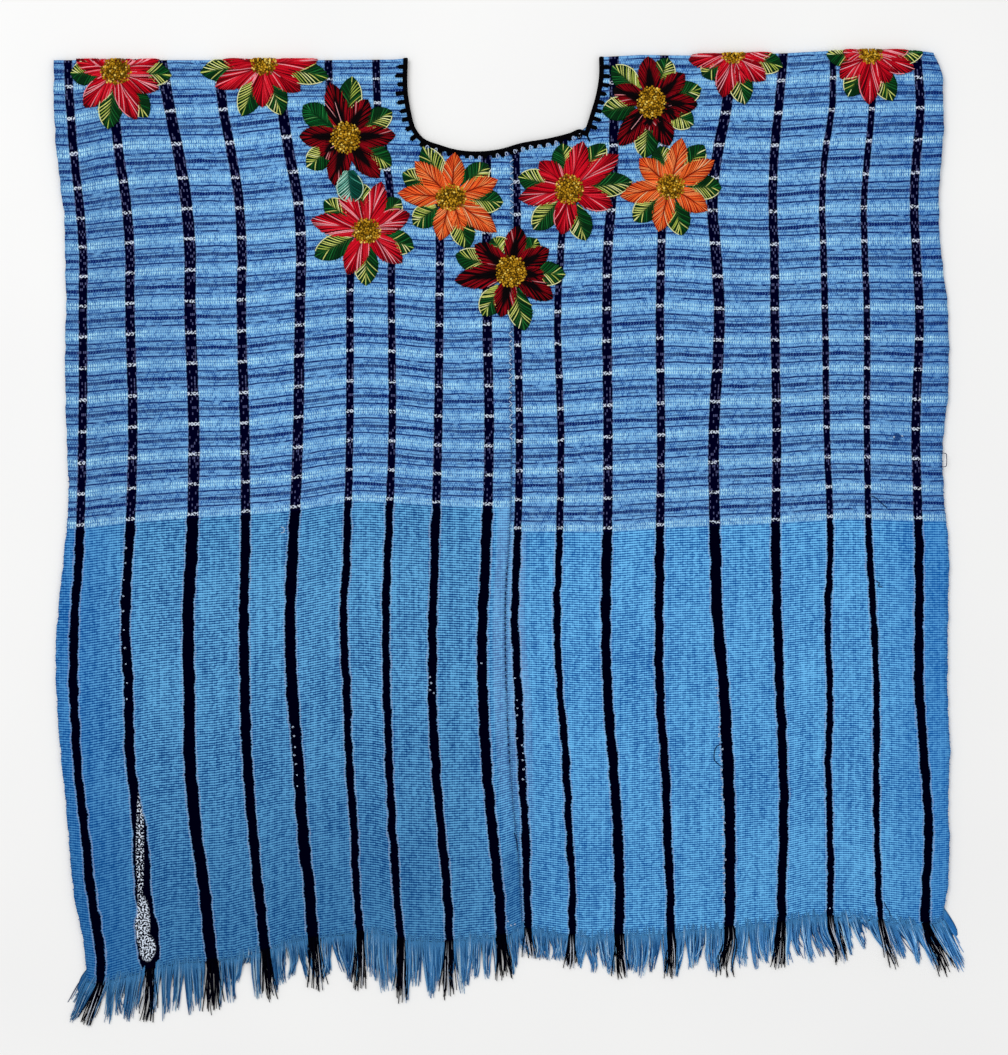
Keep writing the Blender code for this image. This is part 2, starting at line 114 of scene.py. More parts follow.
# Each front hem, with the fringe below it and how far its tips lean to the right
HEM_COLUMNS = ("x", "y", "fringe", "lean")
LEFT_HEM = [
    (-363, -382.5, 36, -10),
    (-350, -385, 33, -7),
    (-313, -374.5, 38, -4),
    (-286, -367, 46, -1),
    (-254, -364.5, 42, 0),
    (-233, -362.5, 33, 0),
    (-227, -360.5, 9, 0),
    (-221, -359, 33, 1),
    (-209, -356.5, 39, 3),
    (-185, -348.5, 33, 2),
    (-165, -345.5, 41, 2),
    (-143, -342.5, 39, 2),
    (-126, -340, 47, 0),
    (-106, -342.5, 46, 0),
    (-90, -347, 50, 0),
    (-51, -348.5, 45, 0),
    (-32, -346, 40, 0),
    (-13, -344.5, 36, 1),
    (1, -342.5, 32, 3),
    (12, -337, 23, 4),
]
RIGHT_HEM = [
    (13, -337, 22, 4),
    (29, -340, 22, 2),
    (47, -342.5, 26, 0),
    (67, -344.5, 27, -2),
    (90, -343.5, 33, 2),
    (114, -342.5, 35, 0),
    (138, -341, 35, 2),
    (166, -338.5, 34, 0),
    (190, -336.5, 38, -2),
    (210, -334, 42, 2),
    (234, -332.5, 35, -3),
    (257, -327, 38, 6),
    (277, -326.5, 37, 9),
    (299, -327, 28, 8),
    (320, -330, 37, 10),
    (342, -332.5, 39, 12),
    (359, -333.5, 40, 16),
    (373, -331.5, 42, 20),
]

# The neck's inner edge: down its left side and along its foot, then up its right side
NECK_COLUMNS = ("x", "y")
NECK_FOOT = [
    (-85.5, 420),
    (-85.5, 381),
    (-83, 366),
    (-78.5, 351),
    (-73, 344),
    (-58, 337.5),
    (-41, 333),
    (-24, 332),
    (-6.5, 334),
    (11, 339),
    (36.5, 343.5),
    (54, 348),
    (62.5, 351),
    (66.5, 349.5),
]
NECK_SIDE = [
    (66.5, 349.5),
    (71, 363.5),
    (76, 380.5),
    (78.5, 395),
    (78.5, 420),
]

# Soft ridges: the two ends of each crest, its half width and its height, on the front and the back
RIDGE_COLUMNS = ("x1", "y1", "x2", "y2", "half_width", "height")
FRONT_RIDGES = [
    (-28, -110, -8, -330, 36, 1.8),
    (46, -150, 50, -325, 34, 1.6),
    (-250, -60, -215, -335, 60, 1.5),
    (-335, 70, -150, -30, 55, 1.2),
    (150, 40, 190, -315, 60, 1.5),
    (330, -20, 300, -315, 45, 1.4),
    (-300, 220, -190, 110, 60, 1.0),
    (130, 130, 300, 190, 60, 1.0),
]
BACK_RIDGES = [
    (-300, 200, -210, -280, 40, 0.5),
    (-120, 150, -60, -250, 36, 0.45),
    (90, 210, 150, -200, 40, 0.5),
    (300, 120, 240, -280, 36, 0.45),
]


def column(rows, columns, name):
    """One named column of a table, as an array."""
    return np.array([row[columns.index(name)] for row in rows], float)


def named(rows, columns):
    """The rows of a table, each as a dictionary by column."""
    return [dict(zip(columns, row)) for row in rows]


def from_photo(x, y):
    """Millimetres across and up from the origin, of a place in the photograph's pixels."""
    across = (np.asarray(x, float) - PIXEL_X) * MM_PER_PIXEL
    up = (PIXEL_Y - np.asarray(y, float)) * MM_PER_PIXEL
    return across, up


def smooth(place, values, at, each_own=False):
    """Cubic through the rows of a table, whose slope at each row is that of its neighbours.

    The rows may have columns; with each_own, at holds one place for each of them.
    """
    at = np.clip(np.asarray(at, float), place[0], place[-1])
    slope = np.gradient(values, place, axis=0)
    k = np.clip(np.searchsorted(place, at, side="right") - 1, 0, len(place) - 2)
    step = place[k + 1] - place[k]
    t = (at - place[k]) / step
    if values.ndim > 1:
        step, t = step[:, None], t[:, None]
    before, after = k, k + 1
    if each_own:
        before, after = (k, np.arange(len(at))), (k + 1, np.arange(len(at)))
    start = (1 + 2 * t) * (1 - t) ** 2 * values[before] + t * (1 - t) ** 2 * step * slope[before]
    end = t**2 * (3 - 2 * t) * values[after] - t**2 * (1 - t) * step * slope[after]
    return start + end


def smooth_step(t):
    """0 below 0 and 1 above 1, with a soft S between."""
    t = np.clip(t, 0.0, 1.0)
    return t * t * (3 - 2 * t)


def edge(name, y):
    """Across place of the left edge, the seam or the right edge at a height."""
    heights = column(SECTIONS, SECTION_COLUMNS, "y")
    return smooth(heights, column(SECTIONS, SECTION_COLUMNS, name), y)


def shoulder(x):
    """Height of the shoulder fold's outer line."""
    across = column(SHOULDER, SHOULDER_COLUMNS, "x")
    return np.interp(x, across, column(SHOULDER, SHOULDER_COLUMNS, "y"))


def fold_start(x):
    """Height at which the front starts to turn over the shoulder."""
    return shoulder(x) - FOLD_RADIUS


def hem(side, name, x):
    """One column of a side's hem table at an across place."""
    rows = LEFT_HEM if side == "left" else RIGHT_HEM
    return np.interp(x, column(rows, HEM_COLUMNS, "x"), column(rows, HEM_COLUMNS, name))


def shoulder_rise(below):
    """Height of the back's underside above the surface, by the distance below the fold."""
    return SHOULDER_RISE * (1 - smooth_step((below - SHOULDER_FLAT) / SHOULDER_SLOPE))


def lift(ridges, x, y, below):
    """Soft ridges: each is its height times exp(-(distance from the crest / half width)^2)."""
    total = np.zeros(np.broadcast(x, y).shape)
    for ridge in named(ridges, RIDGE_COLUMNS):
        run_x = ridge["x2"] - ridge["x1"]
        run_y = ridge["y2"] - ridge["y1"]
        from_x = x - ridge["x1"]
        from_y = y - ridge["y1"]
        along = np.clip((from_x * run_x + from_y * run_y) / (run_x**2 + run_y**2), 0, 1)
        away = np.hypot(from_x - along * run_x, from_y - along * run_y)
        total = total + ridge["height"] * np.exp(-((away / ridge["half_width"]) ** 2))
    inside = np.minimum(x - edge("left", y), edge("right", y) - x)
    return total * smooth_step(inside / EDGE_CALM) * smooth_step(below / EDGE_CALM)


def on_cloth(x, s, out):
    """Points of cloth places: s is the way down the front, 0 to -TURN the fold, then the back.

    What stands out of the cloth by out is pressed flatter on the back, by the room under it over
    the thickest embroidery, so that it stays above the surface.
    """
    x, s, out = np.broadcast_arrays(*(np.asarray(a, float) for a in (x, s, out)))
    below = np.where(s > 0, s, np.maximum(-s - TURN, 0))
    angle = np.clip(-s, 0, TURN) / FOLD_RADIUS
    y = fold_start(x) - below
    pressed = smooth_step(-s / TURN) * (1 - shoulder_rise(below) / THICKEST_EMBROIDERY)
    reach = FOLD_RADIUS + np.where(out > 0, out * (1 - pressed), out)
    z = shoulder_rise(below) + FOLD_RADIUS + reach * np.cos(angle)
    raised = np.where(s > 0, lift(FRONT_RIDGES, x, y, below), lift(BACK_RIDGES, x, y, below))
    return np.stack([x, y + reach * np.sin(angle), z + raised], axis=-1)


def lay(points):
    """Flat points (x, y, out) laid on the cloth, over the shoulder fold and down the back."""
    x, y, out = points[..., 0], points[..., 1], points[..., 2]
    return on_cloth(x, fold_start(x) - y, out)


def lay_on_back(points):
    """Flat points (x, y, out) laid on the back, at the height y of the laid garment."""
    x, y, out = points[..., 0], points[..., 1], points[..., 2]
    return on_cloth(x, -TURN - fold_start(x) + y, out)


def dye(red, green, blue):
    """Linear colour of a screen colour from 0 to 255."""
    value = np.array([red, green, blue], float) / 255
    return np.where(value <= 0.04045, value / 12.92, ((value + 0.055) / 1.055) ** 2.4)


# Pieces of mesh


def tubes(path, wide, high, up=(0.0, 0.0, 1.0), sides=6, flat_under=None):
    """Closed tubes along many paths at once.

    A ring's point at angle a is the path's point, plus wide cos(a) sideways and high sin(a) up.
    path is (tubes, rings, 3); wide and high are (tubes, rings). flat_under lifts what lies lower.
    """
    path = np.asarray(path, float)
    count, rings = path.shape[:2]
    ahead = np.gradient(path, axis=1)
    ahead = ahead / np.maximum(np.linalg.norm(ahead, axis=2, keepdims=True), 1e-9)
    up = np.broadcast_to(np.asarray(up, float), path.shape)
    aside = np.cross(up, ahead)
    aside = aside / np.maximum(np.linalg.norm(aside, axis=2, keepdims=True), 1e-9)
    upright = np.cross(ahead, aside)
    wide = np.broadcast_to(np.asarray(wide, float), (count, rings))[..., None, None]
    high = np.broadcast_to(np.asarray(high, float), (count, rings))[..., None, None]
    angle = 2 * np.pi * np.arange(sides) / sides
    cos, sin = np.cos(angle)[:, None], np.sin(angle)[:, None]
    points = path[:, :, None] + wide * cos * aside[:, :, None] + high * sin * upright[:, :, None]
    if flat_under is not None:
        points[..., 2] = np.maximum(points[..., 2], flat_under)
    number = np.arange(count * rings * sides).reshape(count, rings, sides)
    beside = np.roll(number, -1, axis=2)
    here = (number[:, :-1], beside[:, :-1], beside[:, 1:], number[:, 1:])
    faces = [np.stack(here, axis=-1).reshape(-1, 4)]
    faces.append(number[:, 0, ::-1])
    faces.append(number[:, -1])
    return points.reshape(-1, 3), faces


def joined(parts):
    """Points, faces and point colours of several meshes as one."""
    points, faces, colours, start = [], [], [], 0
    for part_points, part_faces, part_colours in parts:
        points.append(part_points)
        colours.append(part_colours)
        faces += [face + start for face in part_faces]
        start += len(part_points)
    return np.concatenate(points), faces, np.concatenate(colours)


def make_piece(name, points, faces, material, slot, replaced=(), **marks):
    """A mesh piece in metres that rides on the garment, with values stored on its points.

    Its volume is the sum of its corner triples' products over six; faces turn round if it is
    below 0, so that they point outwards.
    """
    volume = 0.0
    for part in faces:
        a = points[part[:, 0]]
        for k in range(1, part.shape[1] - 1):
            volume += np.sum(a * np.cross(points[part[:, k]], points[part[:, k + 1]]))
    if volume < 0:
        faces = [part[:, ::-1] for part in faces]
    mesh = bpy.data.meshes.new(name)
    mesh.from_pydata((points * MM).tolist(), [], [face for part in faces for face in part.tolist()])
    mesh.polygons.foreach_set("use_smooth", np.ones(len(mesh.polygons), bool))
    for mark, values in marks.items():
        values = np.asarray(values, np.float32)
        if mark == "dye":
            stored = mesh.attributes.new(mark, "FLOAT_COLOR", "POINT")
            values = np.concatenate([values, np.ones((len(values), 1), np.float32)], axis=1)
            stored.data.foreach_set("color", values.ravel())
        elif values.ndim == 2:
            stored = mesh.attributes.new(mark, "FLOAT_VECTOR", "POINT")
            stored.data.foreach_set("vector", values.ravel())
        else:
            stored = mesh.attributes.new(mark, "FLOAT", "POINT")
            stored.data.foreach_set("value", values)
    mesh.materials.append(material)
    mesh.update()
    made = bpy.data.objects.new(name, mesh)
    bpy.context.collection.objects.link(made)
    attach(made, "root")
    if replaced:
        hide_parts(*replaced)
    return made


# Materials


class Shade:
    """A number that a material's nodes work out. Arithmetic on it adds Math nodes."""

    def __init__(self, tree, socket):
        self.tree = tree
        self.socket = socket

    def math(self, operation, *others):
        node = self.tree.nodes.new("ShaderNodeMath")
        node.operation = operation
        for place, value in enumerate((self, *others)):
            put(self.tree, value, node.inputs[place])
        return Shade(self.tree, node.outputs[0])

    def __add__(self, other):
        return self.math("ADD", other)

    def __sub__(self, other):
        return self.math("SUBTRACT", other)

    def __mul__(self, other):
        return self.math("MULTIPLY", other)

    def size(self):
        return self.math("ABSOLUTE")

    def wave(self, period, shift=0.0):
        """Distance from the nearest whole number of periods, from 0 to half a period."""
        turn = (self * (1 / period) + (0.5 + shift)).math("FRACT")
        return ((turn - 0.5) * period).size()

    def step(self, low, high):
        """0 at low and 1 at high, with a soft S between; low may be above high."""
        node = self.tree.nodes.new("ShaderNodeMapRange")
        node.interpolation_type = "SMOOTHSTEP"
        put(self.tree, self, node.inputs["Value"])
        put(self.tree, low, node.inputs["From Min"])
        put(self.tree, high, node.inputs["From Max"])
        return Shade(self.tree, node.outputs["Result"])


def put(tree, value, socket):
    """A shader value linked to a socket, or a plain number or colour set on it."""
    if isinstance(value, Shade):
        tree.links.new(value.socket, socket)
    elif hasattr(value, "__len__"):
        socket.default_value = (*value, 1.0)
    else:
        socket.default_value = value


def attribute(tree, name, output="Vector"):
    """A value stored on a piece's points."""
    node = tree.nodes.new("ShaderNodeAttribute")
    node.attribute_name = name
    return Shade(tree, node.outputs[output])


def parts_of(vector):
    """The three numbers of a vector."""
    node = vector.tree.nodes.new("ShaderNodeSeparateXYZ")
    put(vector.tree, vector, node.inputs[0])
    return [Shade(vector.tree, output) for output in node.outputs]


def vector_of(tree, x, y, z=0.0):
    """A vector of three numbers."""
    node = tree.nodes.new("ShaderNodeCombineXYZ")
    for value, socket in zip((x, y, z), node.inputs):
        put(tree, value, socket)
    return Shade(tree, node.outputs[0])


def noise(vector, scale, detail=1.0):
    """Cloudy value from 0 to 1 at a scale per unit of the vector's first two numbers."""
    node = vector.tree.nodes.new("ShaderNodeTexNoise")
    node.noise_dimensions = "2D"
    put(vector.tree, vector, node.inputs["Vector"])
    node.inputs["Scale"].default_value = scale
    node.inputs["Detail"].default_value = detail
    return Shade(vector.tree, node.outputs[0])


def scatter(tree, across, down):
    """Random value from 0 to 1 for each pair of whole numbers."""
    node = tree.nodes.new("ShaderNodeTexWhiteNoise")
    node.noise_dimensions = "2D"
    put(tree, vector_of(tree, across, down), node.inputs["Vector"])
    return Shade(tree, node.outputs["Value"])


def mix(share, first, second):
    """Colour between two, at a share from the first to the second."""
    node = share.tree.nodes.new("ShaderNodeMix")
    node.data_type = "RGBA"
    put(share.tree, share, node.inputs[0])
    put(share.tree, first, node.inputs[6])
    put(share.tree, second, node.inputs[7])
    return Shade(share.tree, node.outputs[2])


def new_material(name, roughness, gloss=0.0):
    """A material, its node tree and its main shader."""
    material = bpy.data.materials.new(name)
    material.use_nodes = True
    tree = material.node_tree
    shader = tree.nodes["Principled BSDF"]
    shader.inputs["Roughness"].default_value = roughness
    shader.inputs["Specular IOR Level"].default_value = gloss
    return material, tree, shader


def add_bump(tree, shader, height, distance):
    """Relief on a shader, whose height of 1 is the distance in metres."""
    node = tree.nodes.new("ShaderNodeBump")
    node.inputs["Distance"].default_value = distance
    put(tree, height, node.inputs["Height"])
    tree.links.new(node.outputs["Normal"], shader.inputs["Normal"])


def object_pixels(tree):
    """Object coordinates in photograph pixels, so that patterns are set out as they were read."""
    place = tree.nodes.new("ShaderNodeTexCoord").outputs["Object"]
    node = tree.nodes.new("ShaderNodeVectorMath")
    node.operation = "SCALE"
    tree.links.new(place, node.inputs[0])
    node.inputs["Scale"].default_value = 1 / (MM_PER_PIXEL * MM)
    return Shade(tree, node.outputs[0])


# The weave in the photograph's pixels: from one ladder row to the next, one weft thread, one pick
# of it and one warp thread; and the number of the last ladder row
ROW_PITCH = 30.0
WEFT_PITCH = 2.5
PICK_WIDTH = 2.7
WARP_PITCH = 2.4
LAST_BAND = 13.0

# How far the dark lines lie from a ladder row to the next, as a share of the way
THIN_LINES = (0.26, 0.755)
FAINT_LINES = (0.385, 0.635)
DASHED_LINE = 0.505

# Mottle on yarn: its scale per pixel of the photograph, and its relief in metres
MOTTLE_SCALE = 1.5
MOTTLE_RELIEF = 0.0002
RIB_RELIEF = 0.0003


def near(x, y, centre_x, centre_y, half_x, half_y, soft=0.25):
    """1 inside an upright ellipse at a place of the photograph, falling to 0 just outside it."""
    across, up = from_photo(centre_x, centre_y)
    a = (x - float(across) / MM_PER_PIXEL) * (1 / half_x)
    b = (y - float(up) / MM_PER_PIXEL) * (1 / half_y)
    return (a * a + b * b).step(1 + soft, 1 - soft)


def nearer_line(line, shares):
    """Distance from the nearer of two dark lines, which lie at these shares of the row pitch."""
    first, second = (line.wave(ROW_PITCH, -share) for share in shares)
    return first.math("MINIMUM", second)


def woven_material():
    """Striped and banded cotton.

    The weave value holds the stripe number across, the band number down, and the pixels from one
    stripe to the next. A stripe lies where the stripe number is whole. Where the band number is
    whole, above the last band, lies a light ladder row; a quarter and three quarters of the way to
    the next lie thin dark lines, and half way a dashed bold one. Below is plain ribbed weave.
    """
    material, tree, shader = new_material("striped handwoven cotton", 0.95)
    place = object_pixels(tree)
    x, y, _ = parts_of(place)
    stripe, band, pitch = parts_of(attribute(tree, "weave"))
    half = attribute(tree, "stripe_half", "Fac")
    fine = noise(place, 0.5)
    coarse = noise(place, 0.06)
    down = band * ROW_PITCH
    lower = band.step(LAST_BAND + 0.1, LAST_BAND + 0.16)
    upper = lower.math("SUBTRACT", 1.0).size()
    signed = ((stripe + 0.5).math("FRACT") - 0.5) * pitch
    waver = ((coarse - 0.5) * 3.6 + (fine - 0.5) * 2.4) * (lower * 0.65 + 0.3)
    half = half + near(x, y, 145, 890, 40.0, 70.0, 0.9) * 3.2
    half = half + near(x, y, 149, 943, 40.0, 26.0, 0.6) * 3.8
    away = (signed + waver).size()
    in_stripe = away.step(half + 0.5, half - 0.5)

    weft = down + fine * 0.5
    row = (weft * (1 / WEFT_PITCH)).math("FLOOR")
    pick = (x * (1 / PICK_WIDTH) + row * 0.5).math("FLOOR")
    cell = scatter(tree, pick, row)
    rib = weft.wave(WEFT_PITCH) * (2 / WEFT_PITCH)
    tall = noise(vector_of(tree, x * 0.2, band * 0.4), 1.0)
    tone = noise(place, 0.011, 2.0)

    # Plain weave: darker at the left, at both sides and towards the hem, paler by the seam,
    # with painted shade in the soft groove at the seam's foot
    ribbed = rib * 0.9 + cell * 0.36 + x.wave(WARP_PITCH) * 0.2
    bright = (ribbed + tall * 0.4 + tone * 0.3).step(0.7, 1.52)
    side = x.step(-70.0, 60.0)
    valleys = mix(side, dye(0, 54, 120), dye(0, 72, 148))
    plain = mix(bright, valleys, mix(side, dye(106, 182, 232), dye(114, 196, 250)))
    sides = (stripe - 9.7).size().step(7.1, 8.9)
    plain = mix(sides * 0.42, plain, dye(0, 90, 172))
    foot = band.step(17.0, 29.0) * (x.step(140.0, -160.0) * 0.4 + 0.1)
    plain = mix(foot, plain, dye(0, 62, 118))
    by_seam = (stripe - 9.69).size().step(0.5, 0.42) * band.step(26.0, 19.0)
    plain = mix(by_seam * 0.22, plain, dye(140, 176, 222))
    # Painted shade: a darker patch where the seam sinks into a soft groove above the hem
    plain = mix(near(x, y, 511, 896, 11.0, 50.0, 0.6) * 0.4, plain, dye(0, 58, 120))

    # Banded weave: ladder rows glow in short upright ticks, with dark lines between them
    grain = rib * 0.45 + cell * 0.55 + (x + row * 1.2).wave(WARP_PITCH) * 0.45 + fine * 0.1
    banded = mix(grain.step(0.3, 1.1), dye(16, 72, 148), dye(119, 177, 227))
    banded = mix(x.step(-250.0, -430.0) * 0.2 + 0.02, banded, dye(20, 44, 92))
    banded = mix(x.step(330.0, 430.0) * 0.3, banded, dye(0, 72, 150))
    from_row = ((band + 0.5).math("FRACT") - 0.5) * ROW_PITCH
    patchy = noise(vector_of(tree, x * 0.025, band * 1.3), 1.0).step(0.35, 0.65)
    beside = (away - half).step(16.0, 2.0)
    tick = (x + fine * 2.0).wave(2.35).step(0.4, 0.9)
    rungs = (from_row.size() - 1.8).size().step(1.8, 0.9)
    glow = rungs * tick * (patchy * 0.36 + beside * 0.26 + 0.32) * (cell * 0.5 + 0.6)
    banded = mix(from_row.size().step(5.0, 3.0) * 0.1, banded, dye(96, 172, 226))
    banded = mix(glow, banded, dye(190, 240, 255))
    broken = noise(vector_of(tree, x * 0.05, band * 3.0), 1.0)
    line = down + (broken - 0.5) * 2.0
    thin = nearer_line(line, THIN_LINES).step(1.2, 0.35)
    faint = nearer_line(line, FAINT_LINES).step(1.2, 0.3)
    dash = (x + from_row * 0.6).wave(2.8).step(0.0, 0.6)
    bold = line.wave(ROW_PITCH, -DASHED_LINE).step(2.0, 1.3) * (dash * 0.5 + 0.5)
    faint = faint * broken.step(0.56, 0.44) * 0.6
    lines = (thin * broken.step(0.2, 0.42)).math("MAXIMUM", faint) * (cell * 0.35 + 0.7)
    banded = mix(lines.math("MAXIMUM", bold * (patchy * 0.2 + 0.8)), banded, dye(6, 24, 92))
    cloth = mix(lower, banded, plain)

    # Stripes: a pale rim, violet specks above the last band, and a knotted ring at each ladder row
    rim = (away - half - 0.8).size().step(0.9, 0.2)
    cloth = mix(rim * (lower * 0.3 + 0.1), cloth, dye(160, 176, 204))
    across, along = signed * 0.62, down * 0.34
    speck = scatter(tree, across.math("FLOOR"), along.math("FLOOR")).step(0.74, 0.78) * upper
    speck = speck * across.wave(1.0).step(0.05, 0.3) * along.wave(1.0).step(0.0, 0.2)
    ring_x = signed.wave(3.5, 0.5)
    ring = (ring_x * ring_x + from_row * from_row * 1.2).math("SQRT")
    knot = (ring - 1.25).size().step(0.85, 0.3) * (away - half).step(0.4, -0.6) * upper
    knot = knot * noise(place, 0.45).step(0.4, 0.5) * from_row.size().step(2.6, 1.9)
    yarn = mix(speck * 0.5, mix(upper, dye(0, 0, 16), dye(1, 1, 28)), dye(108, 114, 164))
    colour = mix(in_stripe, cloth, yarn)
    colour = mix(knot * 0.9, colour, dye(216, 228, 244))

    # The worn patch of the left foot, and a small dark stain at the right
    bits = noise(place, 0.55)
    sparse = near(x, y, 140.0, 848, 4.0, 58.0) * bits.step(0.54, 0.6)
    dense = near(x, y, 142.5, 922, 7.5, 25.0).math("MAXIMUM", near(x, y, 147.5, 948, 8.0, 13.0))
    worn = sparse.math("MAXIMUM", dense * bits.step(0.49, 0.56))
    colour = mix(worn * in_stripe, colour, dye(214, 226, 242))
    colour = mix(near(x, y, 897, 437, 4.0, 4.0) * 0.8, colour, dye(8, 44, 104))
    put(tree, colour, shader.inputs["Base Color"])
    add_bump(tree, shader, rib, RIB_RELIEF)
    return material


def thread_material(name, roughness, gloss=0.0):
    """Spun yarn whose colour is stored on its points, slightly mottled and fuzzy."""
    material, tree, shader = new_material(name, roughness, gloss)
    place = object_pixels(tree)
    mottle = noise(place, MOTTLE_SCALE, 2.0)
    colour = attribute(tree, "dye", "Color")
    darker = mix(mottle.step(0.25, 0.8), (0.55, 0.55, 0.55), (1.25, 1.25, 1.25))
    node = tree.nodes.new("ShaderNodeMix")
    node.data_type = "RGBA"
    node.blend_type = "MULTIPLY"
    node.inputs[0].default_value = 1.0
    put(tree, colour, node.inputs[6])
    put(tree, darker, node.inputs[7])
    tree.links.new(node.outputs[2], shader.inputs["Base Color"])
    add_bump(tree, shader, mottle, MOTTLE_RELIEF)
    return material


# The woven panels

# Across places of each warp stripe in the photograph's pixels, by the height of the reading
LEFT_STRIPES = ("y", "1", "2", "3", "4", "5", "6", "7", "8", "9")
LEFT_WARP = [
    (60, 68, 112, 161, 217, 275, 328, 376, 436, 484),
    (110, 70.5, 115, 170, 223.5, 282.5, 331, 378, 437, 485),
    (150, 73.7, 118.7, 178, 231, 288.5, 337, 384, 438, 486),
    (200, 79, 126, 186, 239, 298, 345, 391, 439.5, 487),
    (250, 83, 130, 190, 242, 301, 350, 391.5, 440, 487),
    (300, 83, 130, 190, 241.5, 300, 350, 391.5, 439.5, 487),
    (440, 82.5, 133, 194, 245, 298, 349.5, 392, 438, 489),
    (555, 79, 129, 191.5, 245.5, 293, 346.5, 387.7, 434.7, 485.7),
    (612, 75, 125.6, 188.3, 244, 290.3, 343.5, 386, 433, 482.7),
    (700, 74, 129, 189.5, 245, 293, 347, 387, 432.6, 483),
    (757, 77, 130, 190, 247, 298, 349, 389, 435.3, 486.1),
    (838, 85.5, 140, 197, 253.5, 303.5, 354.5, 393, 441.8, 493.2),
    (884, 90, 143, 203.5, 258, 308.6, 356, 396, 446.5, 498.2),
    (960, 101, 150, 212, 266.5, 315, 363, 403, 450, 502),
]
RIGHT_STRIPES = ("y", "10", "11", "12", "13", "14", "15", "16", "17", "18")
RIGHT_WARP = [
    (60, 514, 564, 614, 664, 731, 783, 833, 874, 917),
    (110, 515, 564, 614, 664, 726, 778.3, 831.6, 871.6, 920),
    (150, 516, 564, 613.5, 663.5, 718, 774.4, 825.4, 868, 916.8),
    (200, 517, 563.5, 611.5, 662.5, 712.3, 772.5, 822, 864, 914),
    (250, 517, 561, 607.8, 661.3, 715.7, 774.3, 823.4, 864.8, 916),
    (300, 517, 558, 607, 660, 719, 774.5, 824.5, 866.5, 919),
    (440, 519.5, 561, 608, 661, 713.7, 776.6, 827, 867, 915.8),
    (555, 516.7, 559, 607, 659.5, 715.4, 775.7, 830.2, 869.6, 919),
    (612, 514.7, 557, 605.7, 659, 717, 777, 827.6, 873, 919),
    (700, 518.8, 561, 608, 660, 724.5, 780.2, 830, 876.5, 920),
    (757, 521, 565.6, 612.5, 664.3, 727, 783, 828.2, 876, 924),
    (838, 525.5, 569.4, 618.2, 667.7, 730, 783.3, 830, 877, 928.6),
    (884, 526.7, 572.3, 619.4, 669.8, 730, 781.6, 830, 878.3, 926.2),
    (960, 529, 571, 619, 671, 729, 781.6, 830, 883, 924),
]

# Heights of light rows at each stripe in the photograph's pixels, by the row's number
LEFT_WEFT = [
    (0, 119, 111.5, 111, 109.5, 104, 103, 103, 104, 104),
    (2, 188.7, 181.7, 178, 177.5, 172, 169.5, 169.5, 171, 171),
    (4, 247, 242.7, 239, 237.7, 233.6, 230.5, 231, 233, 232.5),
    (7, 337, 334, 332.5, 331, 325, 320, 321, 325, 324),
    (10, 432, 427, 424, 423, 417, 411, 411.5, 416, 416),
    (13, 525, 519, 514, 511, 506.6, 498.5, 499, 502, 504),
]
RIGHT_WEFT = [
    (0, 117, 116, 114, 113, 113, 113, 110, 109, 108),
    (7, 345, 344, 341, 338, 340, 340, 338, 338, 339),
    (10, 441, 440, 437, 435, 432, 430, 427, 427, 429),
    (13, 528, 528, 528, 524.6, 522, 519.6, 516.3, 516, 517.6),
]
BAND_AT_FOLD = -1.8
BAND_AT_HEM = 28.0

# Half the width of each stripe, in the photograph's pixels
STRIPE_HALF = [
    4.3, 4.8, 5.8, 4.8, 5.3, 3.8, 3.8, 4.3, 4.9,
    3.8, 3.5, 4.8, 4.2, 5.5, 4.5, 3.3, 3.3, 4.5,
]

# Stripe numbers at a panel's outer edge and seam, and the grid of its shell
LEFT_NUMBERS = (0.67, 9.5)
RIGHT_NUMBERS = (9.88, 18.5)
COLUMNS_PER_STRIPE = 11
FRONT_ROWS = 170
FOLD_ROWS = 8
BACK_ROWS = 60
CUT_UNDER_BINDING = 2.4


def warp_anchors(side):
    """Stripe numbers of a panel's edges and stripes, and the table of their across places."""
    rows, names = (LEFT_WARP, LEFT_STRIPES) if side == "left" else (RIGHT_WARP, RIGHT_STRIPES)
    first, last = LEFT_NUMBERS if side == "left" else RIGHT_NUMBERS
    numbers = np.array([first] + [float(name) for name in names[1:]] + [last])
    heights = from_photo(0, column(rows, names, "y"))[1][::-1]
    places = [from_photo(column(rows, names, name), 0)[0][::-1] for name in names[1:]]
    return numbers, heights, places


def warp_x(side, numbers, y, inset=0.0):
    """Across places of warp lines (columns) at heights y (columns, rows)."""
    anchors, heights, places = warp_anchors(side)
    uneven = 0.25 * np.sin(y / 2.3) + 0.22 * np.sin(y / 3.7 + 1) + 0.25 * np.sin(y / 6.1)
    inwards = 1 if side == "left" else -1
    outer = edge(side, y) + inwards * inset + uneven
    seam = edge("seam", y) - inwards * SEAM_GAP / 2
    lines = [smooth(heights, place, y) for place in places]
    lines = [outer] + lines + [seam] if side == "left" else [seam] + lines + [outer]
    return smooth(anchors, np.array(lines), numbers, each_own=True)


def weft_y(side, numbers, bands, x_at_fold, x_at_hem):
    """Heights (columns, rows) of weft lines: fold, rows read in the photo and hem, by the cubic."""
    rows = np.array(LEFT_WEFT if side == "left" else RIGHT_WEFT, float)
    stripes = np.arange(1, 10) if side == "left" else np.arange(10, 19)
    knots = [fold_start(x_at_fold)]
    for row in rows:
        knots.append(smooth(stripes, from_photo(0, row[1:])[1], numbers))
    knots.append(hem(side, "y", x_at_hem))
    places = np.array([BAND_AT_FOLD, *rows[:, 0], BAND_AT_HEM])
    return smooth(places, np.array(knots), bands).T


